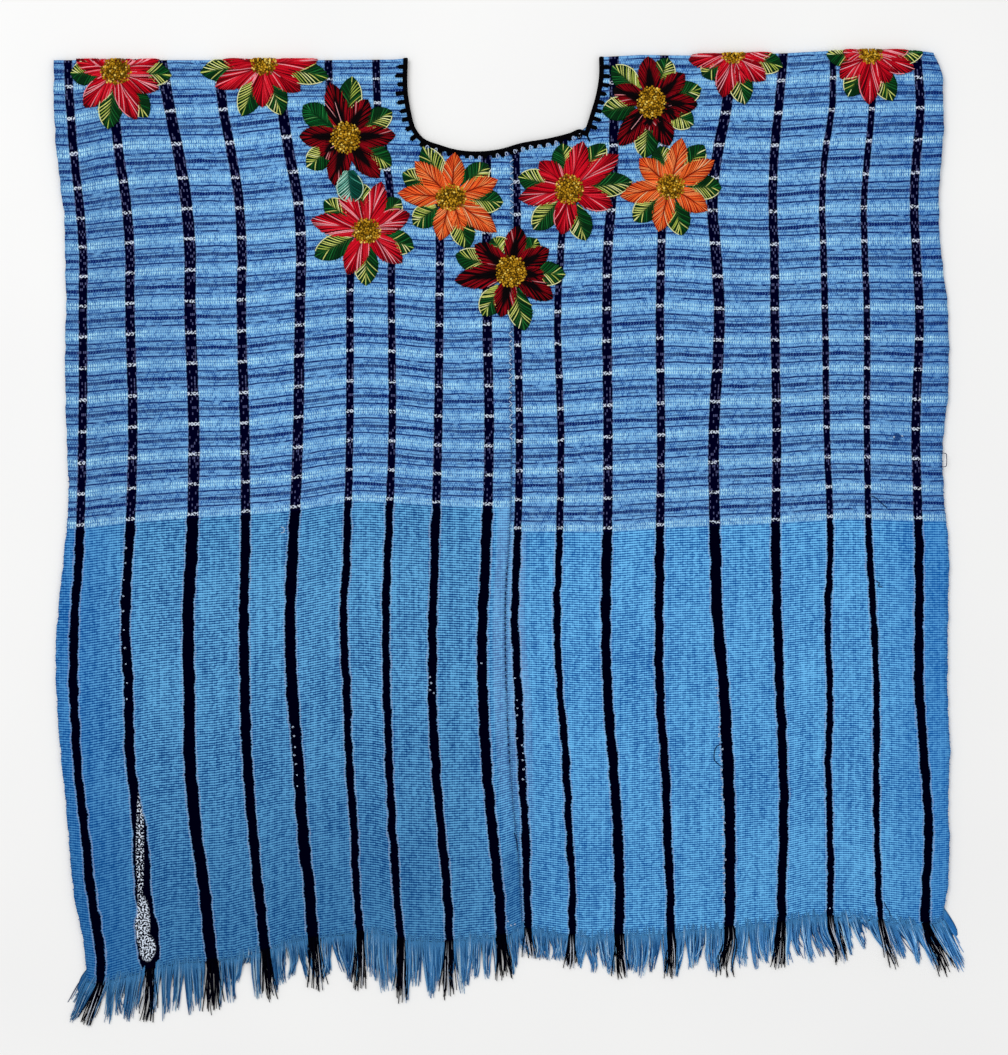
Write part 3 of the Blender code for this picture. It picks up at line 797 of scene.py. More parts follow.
def neck_line(offset, spacing=4.0):
    """Places (x, y) along the front neck from left to right, moved out into the cloth."""
    foot_x, foot_y = (column(NECK_FOOT, NECK_COLUMNS, name) for name in NECK_COLUMNS)
    side_x, side_y = (column(NECK_SIDE, NECK_COLUMNS, name) for name in NECK_COLUMNS)
    points = []
    for xs, ys in ((foot_x, foot_y), (side_x, side_y)):
        length = np.concatenate([[0], np.cumsum(np.hypot(np.diff(xs), np.diff(ys)))])
        at = np.linspace(0, length[-1], int(length[-1] / spacing) + 2)
        points.append(np.stack([smooth(length, xs, at), smooth(length, ys, at)], axis=-1))
    line = np.concatenate([points[0][:-1], points[1]])
    ahead = np.diff(line, axis=0)
    ahead = ahead / np.linalg.norm(ahead, axis=1)[:, None]
    before = np.vstack([ahead[:1], ahead])
    after = np.vstack([ahead, ahead[-1:]])
    outward = np.stack([before[:, 1] + after[:, 1], -before[:, 0] - after[:, 0]], axis=-1)
    outward = outward / np.linalg.norm(outward, axis=1)[:, None]
    mitre = np.sum(outward * np.stack([before[:, 1], -before[:, 0]], axis=-1), axis=1)
    return line + outward * (offset / mitre)[:, None]


def cut_neck(x, y):
    """Which places lie in the neck hole, and all places with those moved to its nearest edge."""
    line = neck_line(CUT_UNDER_BINDING)
    inside = np.zeros(x.shape, bool)
    for (x1, y1), (x2, y2) in zip(line, np.roll(line, -1, axis=0)):
        crosses = (y1 > y) != (y2 > y)
        at = x1 + (y - y1) * (x2 - x1) / (y2 - y1 if y1 != y2 else 1.0)
        inside ^= crosses & (x < at)
    start, run = line[:-1], np.diff(line, axis=0)
    spots = np.stack([x[inside], y[inside]], axis=-1)[:, None]
    along = np.clip(np.sum((spots - start) * run, axis=2) / np.sum(run * run, axis=1), 0, 1)
    feet = start + along[..., None] * run
    nearest = np.argmin(np.linalg.norm(spots - feet, axis=2), axis=1)
    chosen = feet[np.arange(len(feet)), nearest]
    new_x, new_y = x.copy(), y.copy()
    new_x[inside], new_y[inside] = chosen[:, 0], chosen[:, 1]
    return inside, new_x, new_y


def make_panel(side, material):
    """A loom panel as a closed shell: a grid of warp lines by weft lines, front, fold and back.

    Its outer face is on_cloth at out 0 and its inner face at -CLOTH. Cells wholly in the neck are
    left out, and walls close the two faces along every open edge.
    """
    first, last = LEFT_NUMBERS if side == "left" else RIGHT_NUMBERS
    numbers = np.linspace(first, last, int((last - first) * COLUMNS_PER_STRIPE))
    bands = np.linspace(BAND_AT_FOLD, BAND_AT_HEM, FRONT_ROWS + 1)
    back_bands = np.linspace(BAND_AT_FOLD, BAND_AT_HEM, BACK_ROWS + 1)
    x_fold = x_hem = warp_x(side, numbers, np.zeros((len(numbers), 1)))[:, 0]
    for _ in range(4):
        y_fold, y_hem = fold_start(x_fold), hem(side, "y", x_hem)
        x_fold = warp_x(side, numbers, y_fold[:, None])[:, 0]
        x_hem = warp_x(side, numbers, y_hem[:, None])[:, 0]
    y = weft_y(side, numbers, bands, x_fold, x_hem)
    x = warp_x(side, numbers, y)
    back_y = weft_y(side, numbers, back_bands, x_fold, x_hem)
    share = (y_fold[:, None] - back_y) / (y_fold - y_hem)[:, None]
    back_y = back_y + BACK_SHORTER * share
    inset = BACK_NARROWER * smooth_step((y_fold[:, None] - back_y) / EDGE_CALM)
    back_x = warp_x(side, numbers, back_y, inset)
    inside, x, y = cut_neck(x, y)
    back_inside, back_x, back_y = cut_neck(back_x, back_y)
    turn = np.linspace(0, -TURN, FOLD_ROWS + 1)[1:-1]
    fold_x = np.broadcast_to(x[:, :1], (len(numbers), len(turn)))
    fold_inside = np.broadcast_to(inside[:, :1], fold_x.shape)
    past_fold = np.minimum(-turn, TURN + turn) / (ROW_PITCH * MM_PER_PIXEL)
    fold_band = np.full(fold_x.shape, BAND_AT_FOLD) - past_fold
    places_x = np.concatenate([x[:, ::-1], fold_x, back_x], axis=1)
    s = np.concatenate(
        [
            fold_start(x[:, ::-1]) - y[:, ::-1],
            np.broadcast_to(turn, fold_x.shape),
            -TURN - fold_start(back_x) + back_y,
        ],
        axis=1,
    )
    cut = np.concatenate([inside[:, ::-1], fold_inside, back_inside], axis=1)
    front_band = np.broadcast_to(bands[::-1], x.shape)
    back_band = np.broadcast_to(back_bands, back_x.shape)
    band = np.concatenate([front_band, fold_band, back_band], axis=1)
    outer = on_cloth(places_x, s, 0.0).reshape(-1, 3)
    inner = on_cloth(places_x, s, -CLOTH).reshape(-1, 3)
    number = np.arange(places_x.size).reshape(places_x.shape)
    corners = [number[:-1, :-1], number[1:, :-1], number[1:, 1:], number[:-1, 1:]]
    cells = np.stack(corners, axis=-1).reshape(-1, 4)
    cells = cells[~np.all(cut.ravel()[cells], axis=1)]
    edges = np.concatenate([cells[:, [k, (k + 1) % 4]] for k in range(4)])
    count = places_x.size
    found = np.isin(edges[:, 0] * count + edges[:, 1], edges[:, 1] * count + edges[:, 0])
    rim = edges[~found]
    walls = np.stack([rim[:, 1], rim[:, 0], rim[:, 0] + count, rim[:, 1] + count], axis=-1)
    faces = np.concatenate([cells, cells[:, ::-1] + count, walls])
    used = np.unique(faces)
    renumber = np.zeros(2 * count, int)
    renumber[used] = np.arange(len(used))
    pitch = np.gradient(places_x, numbers, axis=0) / MM_PER_PIXEL
    stripe = np.broadcast_to(numbers[:, None], places_x.shape)
    weave = np.stack([stripe, band, pitch], axis=-1).reshape(-1, 3)
    nearest = np.clip(np.rint(stripe).astype(int), 1, 18) - 1
    half = np.array(STRIPE_HALF)[nearest].ravel()
    points = np.concatenate([outer, inner])[used]
    return make_piece(
        f"{side}_woven_panel",
        points,
        [renumber[faces]],
        material,
        "woven_cotton",
        [f"{side}_panel"],
        weave=np.tile(weave, (2, 1))[used],
        stripe_half=np.tile(half, 2)[used],
    )


# Embroidered flowers

# Each flower's middle and disc, and the directions (degrees from +X towards +Y) and reaches of its
# petals and leaves
FLOWER_COLUMNS = ("x", "y", "disc_x", "disc_y", "thread", "petals", "leaves")
FLOWERS = [
    (-336.5, 400.5, 14, 12, "red",
     [(19, 40), (338, 40), (293, 45), (228, 41), (163, 36), (70, 36), (115, 36)],
     [(183, 39), (262, 50), (305, 48), (356, 48), (92, 43)]),
    (-209.5, 406.5, 11.5, 10, "red",
     [(205, 46), (170, 37), (268, 37), (324, 39), (5, 47), (60, 38), (118, 38)],
     [(187, 55), (247, 48), (290, 46), (349, 57), (90, 46)]),
    (-139, 343.5, 13.5, 14.5, "dark red",
     [(3, 43), (60, 38), (106, 49), (178, 40), (215, 27), (256, 42), (310, 45)],
     [(84, 53), (30, 46), (329, 46), (143, 46), (217, 42)]),
    (-121, 263.5, 13.5, 11.5, "red",
     [(121, 44), (73, 44), (169, 49), (246, 41), (318, 41), (22, 40)],
     [(145, 45), (206, 50), (269, 47), (340, 43), (43, 40), (98, 42)]),
    (-48.5, 292, 14, 12, "orange",
     [(21, 43), (85, 39), (135, 44), (175, 46), (255, 38), (323, 49), (290, 30)],
     [(119, 50), (42, 43), (355, 45), (289, 46), (215, 40), (153, 47)]),
    (3, 228.5, 14, 14.5, "dark red",
     [(81, 40), (143, 39), (189, 49), (257, 40), (327, 43), (31, 38), (352, 30)],
     [(118, 33), (51, 36), (357, 47), (283, 52), (237, 45), (163, 50)]),
    (53, 299, 13, 13.5, "red",
     [(190, 44), (137, 35), (74, 43), (35, 52), (339, 40), (261, 39)],
     [(166, 45), (99, 40), (52, 50), (7, 55), (288, 46), (228, 46)]),
    (123.5, 373.5, 13, 15, "dark red",
     [(94, 40), (41, 38), (358, 40), (293, 40), (335, 28), (233, 46), (160, 35), (265, 24)],
     [(137, 46), (69, 41), (16, 45), (333, 41), (263, 48), (190, 43)]),
    (140, 301.5, 13.5, 11.5, "orange",
     [(77, 43), (138, 36), (191, 44), (255, 40), (327, 38), (31, 44)],
     [(105, 36), (51, 46), (359, 44), (284, 43), (223, 43)]),
    (194, 416, 11, 10, "red",
     [(189, 39), (256, 39), (320, 36), (0, 33), (288, 28), (45, 36), (90, 38), (140, 36)],
     [(216, 33), (283, 45), (345, 44), (65, 42), (115, 42)]),
    (312, 416, 11, 10, "red",
     [(219, 34), (178, 24), (268, 44), (340, 40), (303, 30), (12, 36), (60, 36), (100, 38),
      (140, 36)],
     [(182, 38), (242, 42), (295, 45), (1, 45), (80, 44), (120, 42)]),
]

# Each kind of lobe: half its width, how slim its foot and its tip are (lower is blunter), the
# height of its padding, how far its stitches slant along it, the share of a stitch that keeps its
# foot's colour, and its dyes: the last of each four is the one that is seldom used. The under dye
# is painted shade: the padding is darker than the stitches so that it shows dark between them.
LOBES = {
    "red": dict(half=10.0, swell=0.72, tip=0.78, pad=1.2, slant=1.0, stitches=24, foot=0.02,
                under=dye(70, 0, 8),
                one=[dye(206, 8, 32), dye(232, 40, 58), dye(150, 0, 18), dye(250, 158, 168)],
                other=[dye(216, 12, 36), dye(186, 2, 26), dye(128, 0, 14), dye(250, 160, 170)],
                start=dye(96, 0, 10)),
    "dark red": dict(half=10.0, swell=0.72, tip=0.76, pad=1.2, slant=0.9, stitches=24, foot=0.42,
                     under=dye(5, 0, 3),
                     one=[dye(134, 0, 14), dye(160, 6, 24), dye(20, 0, 6), dye(232, 150, 156)],
                     other=[dye(126, 0, 14), dye(148, 4, 20), dye(10, 0, 4), dye(64, 0, 6)],
                     start=dye(6, 0, 3)),
    "orange": dict(half=10.0, swell=0.8, tip=0.9, pad=1.2, slant=0.55, stitches=18, foot=0.03,
                   under=dye(158, 34, 10),
                   one=[dye(255, 116, 48), dye(255, 146, 82), dye(250, 92, 38), dye(255, 196, 146)],
                   other=[dye(252, 102, 42), dye(255, 152, 92), dye(254, 126, 60),
                          dye(255, 196, 146)],
                   start=dye(176, 40, 14)),
    "leaf": dict(half=10.8, swell=0.8, tip=0.74, pad=0.7, slant=0.42, stitches=14, foot=0.04,
                 under=dye(4, 44, 18),
                 one=[dye(8, 84, 32), dye(26, 108, 48), dye(2, 50, 18), dye(206, 216, 118)],
                 other=[dye(216, 222, 120), dye(240, 242, 170), dye(178, 196, 84), dye(28, 92, 36)],
                 start=dye(60, 96, 40)),
    "plain leaf": dict(half=11.3, swell=0.8, tip=0.72, pad=0.7, slant=0.42, stitches=18, foot=0.06,
                       under=dye(2, 34, 14),
                       one=[dye(10, 104, 44), dye(30, 124, 58), dye(4, 76, 30), dye(90, 160, 90)],
                       other=[dye(14, 98, 42), dye(36, 128, 62), dye(4, 80, 32), dye(16, 104, 46)],
                       start=dye(8, 66, 28)),
    "teal leaf": dict(half=12.0, swell=0.75, tip=0.6, pad=0.9, slant=0.42, stitches=20, foot=0.05,
                      under=dye(6, 56, 50),
                      one=[dye(10, 90, 74), dye(6, 72, 58), dye(70, 150, 130), dye(4, 58, 46)],
                      other=[dye(160, 218, 200), dye(120, 194, 176), dye(184, 230, 214),
                             dye(50, 130, 112)],
                      start=dye(20, 88, 76)),
}

# Flowers whose petals have fewer pale stitches
DEEPER_FLOWERS = (2, 3, 6, 7, 8)
# Pale threads along lobe edges: on leaves an outline thread; on red petals a pale pink thread, partly
# an outline and partly a painted highlight on the glossy edge
EDGE_THREAD_AND_HIGHLIGHT_DYES = {"red": dye(248, 150, 160), "leaf": dye(236, 238, 180), "teal leaf": dye(200, 226, 200)}
VEIN_DYES = {"red": dye(246, 156, 164), "dark red": dye(226, 160, 164), "orange": dye(120, 22, 8)}

# Leaves start from a ring this much wider than the disc
LEAF_RING = 1.6
STITCH_RINGS = 6
STITCH_RADIUS = 0.52

# The one leaf of plain green, and the teal one below the same flower: its direction, how far from
# the flower's middle its foot lies, its reach and its height above the cloth
PLAIN_LEAF = (3, 143)
TEAL_FLOWER = 3
TEAL_TURN = 275
TEAL_FOOT = 30
TEAL_REACH = 26
TEAL_BASE = 1.5

GOLDEN_ANGLE = math.radians(137.508)
KNOT_PITCH = 2.0
KNOT_SIDES = 6
KNOT_DYES = np.array([dye(168, 122, 18), dye(206, 158, 40), dye(238, 204, 96), dye(112, 80, 8)])


def lobe_half(kind, t):
    """Half width of a lobe at a share t of its length, as (t + 0.12)^swell (1 - t)^tip."""
    t = np.clip(t, 0.0, 1.0)
    swell, tip = LOBES[kind]["swell"], LOBES[kind]["tip"]
    widest = (swell - 0.12 * tip) / (swell + tip)
    most = (widest + 0.12) ** swell * (1 - widest) ** tip
    return LOBES[kind]["half"] * (t + 0.12) ** swell * (1 - t) ** tip / most


def lobe_height(kind, t, across):
    """Height of a lobe's padding: an arch across it, lower towards both ends."""
    half = np.maximum(lobe_half(kind, t), 0.3)
    arch = np.sqrt(np.clip(1 - (across / half) ** 2, 0, 1))
    return LOBES[kind]["pad"] * arch * (0.55 + 0.45 * np.sin(np.pi * np.clip(t, 0, 1)))


def lobe_frame(flower, angle, reach):
    """Start distance, length, and directions along and across of a lobe."""
    turn = math.radians(angle)
    along = np.array([math.cos(turn), math.sin(turn)])
    across = np.array([-along[1], along[0]])
    disc = 1 / math.hypot(along[0] / flower["disc_x"], along[1] / flower["disc_y"])
    return 0.8 * disc, reach - 0.8 * disc, along, across


def in_lobe(flower, angle, reach, t, across, out):
    """Flat points (x, y, out) of places in a lobe: a share t along it and mm across it."""
    start, length, ahead, aside = lobe_frame(flower, angle, reach)
    r = start + t * length
    x = flower["x"] + r * ahead[0] + across * aside[0]
    y = flower["y"] + r * ahead[1] + across * aside[1]
    return np.stack([x, y, out], axis=-1)


def lobe_stitches(flower, angle, reach, kind, base, random, seldom=0.12):
    """Padding and satin stitches of one petal or leaf, as flat tubes with their dyes.

    A stitch runs from the vein at t - slant to the edge at t, over the arch of the padding, and
    dips into the cloth at both ends.
    """
    look = LOBES[kind]
    t = np.linspace(-0.05, 0.985, 12)[None]
    zero = np.zeros_like(t)
    pad = in_lobe(flower, angle, reach, t, zero, zero + base)
    height = lobe_height(kind, t, zero)
    # The padding is dyed dark as painted shade between and round the stitches
    points, faces = tubes(pad, lobe_half(kind, t) * 0.97, height, sides=10, flat_under=base - 0.3)
    parts = [(points, faces, np.tile(look["under"], (len(points), 1)))]
    f = np.linspace(0, 1, STITCH_RINGS)[None]
    for hand, dyes in ((1, look["one"]), (-1, look["other"])):
        count = look["stitches"]
        ends = np.linspace(0.05, 1.0, count)[:, None] + random.normal(0, 0.008, (count, 1))
        ends = np.clip(ends, 0.03, 1.0)
        starts = ends - look["slant"] * (1 - 0.35 * ends)
        width = lobe_half(kind, ends) * random.uniform(0.88, 1.08, (count, 1))
        skip = np.clip((-0.1 - starts) / (ends - starts), 0, 0.85)
        g = skip + (1 - skip) * f
        at = starts + (ends - starts) * g
        away = hand * width * g**1.25
        out = base + lobe_height(kind, at, away * 0.97) + 0.16 * np.sin(np.pi * f) ** 0.5
        out = out + random.uniform(-0.1, 0.16, (count, 1))
        path = in_lobe(flower, angle, reach, at, away, out)
        swell = 0.55 + 0.45 * np.sin(np.pi * np.clip(f, 0.04, 0.96)) ** 0.5
        points, faces = tubes(path, STITCH_RADIUS * swell, STITCH_RADIUS * 0.8 * swell, sides=5)
        share = np.array([0.47, 0.28, 0.25]) * (1 - seldom)
        chosen = np.array(dyes)[random.choice(4, count, p=[*share, seldom])]
        chosen = chosen * random.uniform(0.8, 1.15, (count, 1))
        turn = smooth_step((g - look["foot"]) / 0.25)[..., None]
        tint = look["start"] * (1 - turn) + chosen[:, None] * turn
        parts.append((points, faces, np.repeat(tint.reshape(-1, 3), 5, axis=0)))
    return parts


def lobe_edge(flower, angle, reach, kind, base, hand, first, last):
    """One thread along one edge of a lobe."""
    t = np.linspace(first, last, 11)
    away = hand * lobe_half(kind, t) * 0.94
    path = in_lobe(flower, angle, reach, t, away, 0 * t + base + 0.62)[None]
    points, faces = tubes(path, 0.42, 0.4)
    return points, faces, np.tile(EDGE_THREAD_AND_HIGHLIGHT_DYES[kind], (len(points), 1))


def lobe_vein(flower, angle, reach, kind, base, last):
    """One thread along the middle of a petal, from its foot to a share of its length."""
    t = np.linspace(0.04, last, 9)
    out = base + lobe_height(kind, t, 0 * t) + 0.42
    out[[0, -1]] -= 0.35
    path = in_lobe(flower, angle, reach, t, 0.35 * np.sin(5 * t + angle), out)[None]
    points, faces = tubes(path, 0.32, 0.32)
    return points, faces, np.tile(VEIN_DYES[kind], (len(points), 1))


def knots(flower, random):
    """French knots on a sunflower spiral over a dome, each a small flattened ball.

    Knot k of n lies at the share sqrt(k / n) of the disc's radii and at k golden angles round it.
    """
    count = int(math.pi * flower["disc_x"] * flower["disc_y"] / KNOT_PITCH**2)
    k = np.arange(count)
    share = np.sqrt((k + 0.5) / count)
    turn = k * GOLDEN_ANGLE
    x = flower["x"] + 0.95 * flower["disc_x"] * share * np.cos(turn) + random.normal(0, 0.3, count)
    y = flower["y"] + 0.95 * flower["disc_y"] * share * np.sin(turn) + random.normal(0, 0.3, count)
    z = 2.3 - 0.7 * share**2 + random.uniform(-0.25, 0.25, count)
    size = random.uniform(0.95, 1.35, count)
    rise = np.sin(np.linspace(-0.5, 0.5, 4) * np.pi * 0.9)
    across = np.cos(np.linspace(-0.5, 0.5, 4) * np.pi * 0.9)
    height = z[:, None] + 0.7 * size[:, None] * rise
    path = np.stack(np.broadcast_arrays(x[:, None], y[:, None], height), axis=-1)
    wide = size[:, None] * across
    points, faces = tubes(path, wide, wide, up=(0.0, 1.0, 0.0), sides=KNOT_SIDES)
    chosen = KNOT_DYES[random.choice(4, count, p=[0.42, 0.28, 0.1, 0.2])]
    chosen = chosen * random.uniform(0.75, 1.15, (count, 1))
    # Painted shade and highlight: each knot is darker at its foot and lighter at its top
    painted_shade_and_highlight = np.array([0.3, 0.6, 0.95, 1.15])[None, :, None]
    tint = np.repeat((chosen[:, None] * painted_shade_and_highlight).reshape(-1, 3), KNOT_SIDES, axis=0)
    return points, faces, tint


def make_flower(number, flower, material):
    """One flower: leaves below, petals over them, and a disc of knots on top."""
    random = np.random.default_rng(number)
    parts = []
    ring = dict(flower, disc_x=LEAF_RING * flower["disc_x"], disc_y=LEAF_RING * flower["disc_y"])
    for k, (angle, reach) in enumerate(flower["leaves"]):
        kind = "plain leaf" if (number, angle) == PLAIN_LEAF else "leaf"
        base = 0.32 + 0.06 * (k % 2)
        parts += lobe_stitches(ring, angle, reach, kind, base, random)
        if kind == "leaf":
            last = random.uniform(0.8, 0.98)
            parts.append(lobe_edge(ring, angle, reach, kind, base, -1, 0.2, last))
    seldom = 0.05 if number in DEEPER_FLOWERS or flower["thread"] == "orange" else 0.18
    for k, (angle, reach) in enumerate(flower["petals"]):
        kind = flower["thread"]
        base = 0.62 + 0.12 * (k % 3)
        parts += lobe_stitches(flower, angle, reach, kind, base, random, seldom)
        if kind == "orange":
            parts.append(lobe_vein(flower, angle, reach, kind, base, 0.9))
        elif random.random() < 2.5 * seldom:
            last = random.uniform(0.3, 0.6)
            parts.append(lobe_vein(flower, angle, reach, kind, base, last))
        # Some red petals get a pale pink thread along one edge: partly an outline, partly a painted
        # highlight
        if kind == "red" and random.random() < 2.5 * seldom:
            hand, last = random.choice([-1, 1]), random.uniform(0.7, 0.95)
            parts.append(lobe_edge(flower, angle, reach, kind, base, hand, 0.3, last))
    if number == TEAL_FLOWER:
        turn = math.radians(TEAL_TURN)
        foot_x = flower["x"] + TEAL_FOOT * math.cos(turn)
        foot_y = flower["y"] + TEAL_FOOT * math.sin(turn)
        foot = dict(x=foot_x, y=foot_y, disc_x=1.0, disc_y=1.0)
        teal = (foot, TEAL_TURN, TEAL_REACH, "teal leaf")
        parts += lobe_stitches(*teal, TEAL_BASE, random)
        parts += [lobe_edge(*teal, TEAL_BASE, hand, 0.1, 0.97) for hand in (1, -1)]
    # A dark brown dome under the knots: painted shade in the gaps between them
    t = np.linspace(-0.98, 0.98, 11)[None]
    arch = np.sqrt(1 - t**2)
    dome = np.stack([flower["x"] + flower["disc_x"] * t, 0 * t + flower["y"], 0 * t + 0.4], axis=-1)
    points, faces = tubes(dome, flower["disc_y"] * arch, 1.9 * arch, sides=12, flat_under=0.1)
    parts.append((points, faces, np.tile(dye(72, 50, 4), (len(points), 1))))
    parts.append(knots(flower, random))
    points, faces, dyes = joined(parts)
    slot = flower["thread"].replace(" ", "_") + "_thread"
    name = f"embroidered_flower_{number:02d}"
    return make_piece(name, lay(points), faces, material, slot, [f"flower_{number:02d}"], dye=dyes)


# The neck binding

BLACK_DYE = dye(8, 7, 10)
LOOP_DYE = dye(184, 200, 228)

# From one blanket stitch to the next, and how many places a tooth and the gap after it take up
STITCH_SPACING = 1.05
STITCHES_PER_TOOTH = 7

# The cord band: half its width, the way from one ring to the next, and points round a ring
BAND_HALF = 2.1
BAND_SPACING = 0.55
BAND_SIDES = 12


def blanket_stitches():
    """Teeth of three stitches each round the neck, and pale loops in some gaps between the teeth.

    A stitch runs from the band's inner edge out over the cloth, the middle one of a tooth
    furthest, and its end turns down into the cloth. Along the foot of the neck a tooth has five
    shorter stitches, and a few teeth are missing.
    """
    random = np.random.default_rng(31)
    inner, outer = neck_line(1.0, STITCH_SPACING), neck_line(10.6, STITCH_SPACING)
    count = min(len(inner), len(outer))
    inner, run = inner[:count], outer[:count] - inner[:count]
    place = np.arange(count) % STITCHES_PER_TOOTH
    tooth = np.arange(count) // STITCHES_PER_TOOTH
    steep = np.abs(run[:, 0]) / np.linalg.norm(run, axis=1)
    on_front = inner[:, 1] < fold_start(inner[:, 0]) - 2
    chance, length = random.random(tooth.max() + 1), random.uniform(0.82, 1.05, tooth.max() + 1)
    at_foot = steep < 0.5
    kept = (place < np.where(at_foot, 5, 3)) & on_front & (chance[tooth] < 0.9 + steep)
    f = np.linspace(0, 1, 7)[None, :]
    rounding = 1 - 0.12 * (place - np.where(at_foot, 2, 1)) ** 2
    reach = rounding * (0.6 + 0.42 * steep) * length[tooth] * random.uniform(0.92, 1.05, count)
    flat = inner[kept][:, None] + run[kept][:, None] * (f * reach[kept][:, None])[..., None]
    out = 0.62 - 0.8 * f**7 + 0.08 * random.normal(0, 1, (kept.sum(), 1))
    teeth = np.concatenate([flat, np.broadcast_to(out, flat.shape[:2])[..., None]], axis=2)
    missing = (place == 1) & (chance[tooth] > 0.9 + steep)
    gap = ((place == 5) | missing) & on_front & (chance[tooth] > 0.25 + 0.8 * steep)
    turn = np.linspace(0.25 * np.pi, 1.9 * np.pi, 10)[None, :]
    middle = inner[gap] + run[gap] * 0.5
    ahead = run[gap] / np.linalg.norm(run[gap], axis=1)[:, None]
    aside = np.stack([-ahead[:, 1], ahead[:, 0]], axis=1)
    wide = random.uniform(1.2, 2.3, (gap.sum(), 1))
    loops = middle[:, None] + (wide * np.cos(turn))[..., None] * ahead[:, None]
    loops = loops + (1.1 * np.sin(turn))[..., None] * aside[:, None]
    loops = np.concatenate([loops, np.full((*loops.shape[:2], 1), 0.75)], axis=2)
    parts = []
    for put_on in (lay, lay_on_back):
        for path, radius, tint in ((teeth, 0.72, BLACK_DYE), (loops, 0.36, LOOP_DYE)):
            points, faces = tubes(path, radius, radius * 0.8)
            parts.append((put_on(points), faces, np.tile(tint, (len(points), 1))))
    return parts


def around_neck(line):
    """Cloth places (x, s) of a neck line carried on over both folds and along the back."""
    line = line[line[:, 1] < fold_start(line[:, 0])]
    below = fold_start(line[:, 0]) - line[:, 1]
    over = np.linspace(0, -TURN, FOLD_ROWS + 1)
    left, right = np.full(len(over), line[0, 0]), np.full(len(over), line[-1, 0])
    x = np.concatenate([line[:, 0], right, line[::-1, 0], left])
    s = np.concatenate([below, over, -TURN - below[::-1], over[::-1]])
    return x, s


def make_binding(material):
    """Black cord band round the neck: an oval profile, ribbed by its wrapped stitches."""
    loops = []
    for k in range(BAND_SIDES):
        angle = 2 * math.pi * k / BAND_SIDES
        x, s = around_neck(neck_line(BAND_HALF + BAND_HALF * math.cos(angle), BAND_SPACING))
        rib = 1 + 0.2 * np.sin(np.arange(len(x)) * 2.1) + 0.1 * np.sin(np.arange(len(x)) * 0.31)
        loops.append(on_cloth(x, s, -0.3 + (0.95 + 0.12 * rib) * math.sin(angle)))
    shortest = min(len(loop) for loop in loops)
    even = [loop[np.rint(np.linspace(0, len(loop) - 1, shortest)).astype(int)] for loop in loops]
    rings = np.stack(even, axis=1)
    number = np.arange(rings.shape[0] * BAND_SIDES).reshape(-1, BAND_SIDES)
    nxt, beside = np.roll(number, -1, axis=0), np.roll(number, -1, axis=1)
    faces = np.stack([number, beside, np.roll(beside, -1, axis=0), nxt], axis=-1).reshape(-1, 4)
    points = rings.reshape(-1, 3)
    parts = [(points, [faces], np.tile(BLACK_DYE, (len(points), 1)))]
    points, faces, dyes = joined(parts + blanket_stitches())
    name, stands_for = "black_neck_binding", ["neck_binding"]
    return make_piece(name, points, faces, material, "black_binding", stands_for, dye=dyes)


# The fringe

TUFT_PITCH = 7.6
YARNS_PER_TUFT = 22
YARNS_PER_BUNDLE = 20
YARNS_ON_BACK = 7
YARN_RINGS = 8
FRINGE_SHARE = {"front": 1.0, "back": 0.85}
FRINGE_DYES = [
    dye(50, 112, 170), dye(78, 142, 200), dye(122, 178, 222), dye(18, 62, 118), dye(192, 222, 242),
]
# Matted yarn under the strands: its own blue, dyed darker than the strands as painted shade between
# them
MATTED_AND_SHADE_DYE = dye(36, 94, 152)
ROOT_DYE = dye(70, 132, 184)
BUNDLE_DYE = dye(2, 2, 10)

# Gaps in the fringe: a place across and half a width, in the photograph's pixels
NOTCHES = [(244, 4.0), (371, 2.5), (860, 4.5)]


def hang(side, layer, roots, tips, lengths, above, bend, sway, rise):
    """Middle lines of yarns that leave the hem and settle just above the floor.

    At the share f of its way a yarn is between its root and its tip as f^bend, plus sway, and its
    height falls by a soft S, over the first two thirds, from the cloth's face to rise.
    """
    f = np.linspace(0, 1, YARN_RINGS)[None]
    raised = 0.0 if layer == "front" else BACK_SHORTER
    hem_y = hem(side, "y", roots)[:, None] + raised
    top = hem_y + above[:, None]
    y = top + (hem_y - lengths[:, None] - top) * f
    x = roots[:, None] + (tips - roots)[:, None] * f ** bend[:, None] + sway
    held = np.maximum(y, hem_y)
    if layer == "front":
        face = on_cloth(x, fold_start(x) - held, 0.12)[..., 2]
    else:
        face = on_cloth(x, -TURN - fold_start(x) + held, -0.7)[..., 2]
    down = np.clip((hem_y - y) / lengths[:, None], 0, 1)
    return np.stack([x, y, face + (rise - face) * smooth_step(1.5 * down)], axis=-1)


def sways(count, most, random):
    """How far paths bend to their sides: f sin(w f + p), with a w and a p for each."""
    f = np.linspace(0, 1, YARN_RINGS)[None]
    waves, start = random.uniform(2.0, 6.0, (count, 1)), random.uniform(0, 6.28, (count, 1))
    return most * random.normal(0, 1, (count, 1)) * f * np.sin(waves * f + start)


def yarns(path, dyes, root_dye, radius, random, thinning):
    """Round yarns that thin out towards their tips by a share of their radius."""
    f = np.linspace(0, 1, YARN_RINGS)[None]
    thick = radius * random.uniform(0.8, 1.2, (len(path), 1)) * (1 - thinning * f**3)
    points, faces = tubes(path, thick, thick, sides=4)
    turn = smooth_step(f / 0.4)[..., None]
    tint = root_dye * (1 - turn) + dyes[:, None] * turn
    return points, faces, np.repeat(tint.reshape(-1, 3), 4, axis=0)


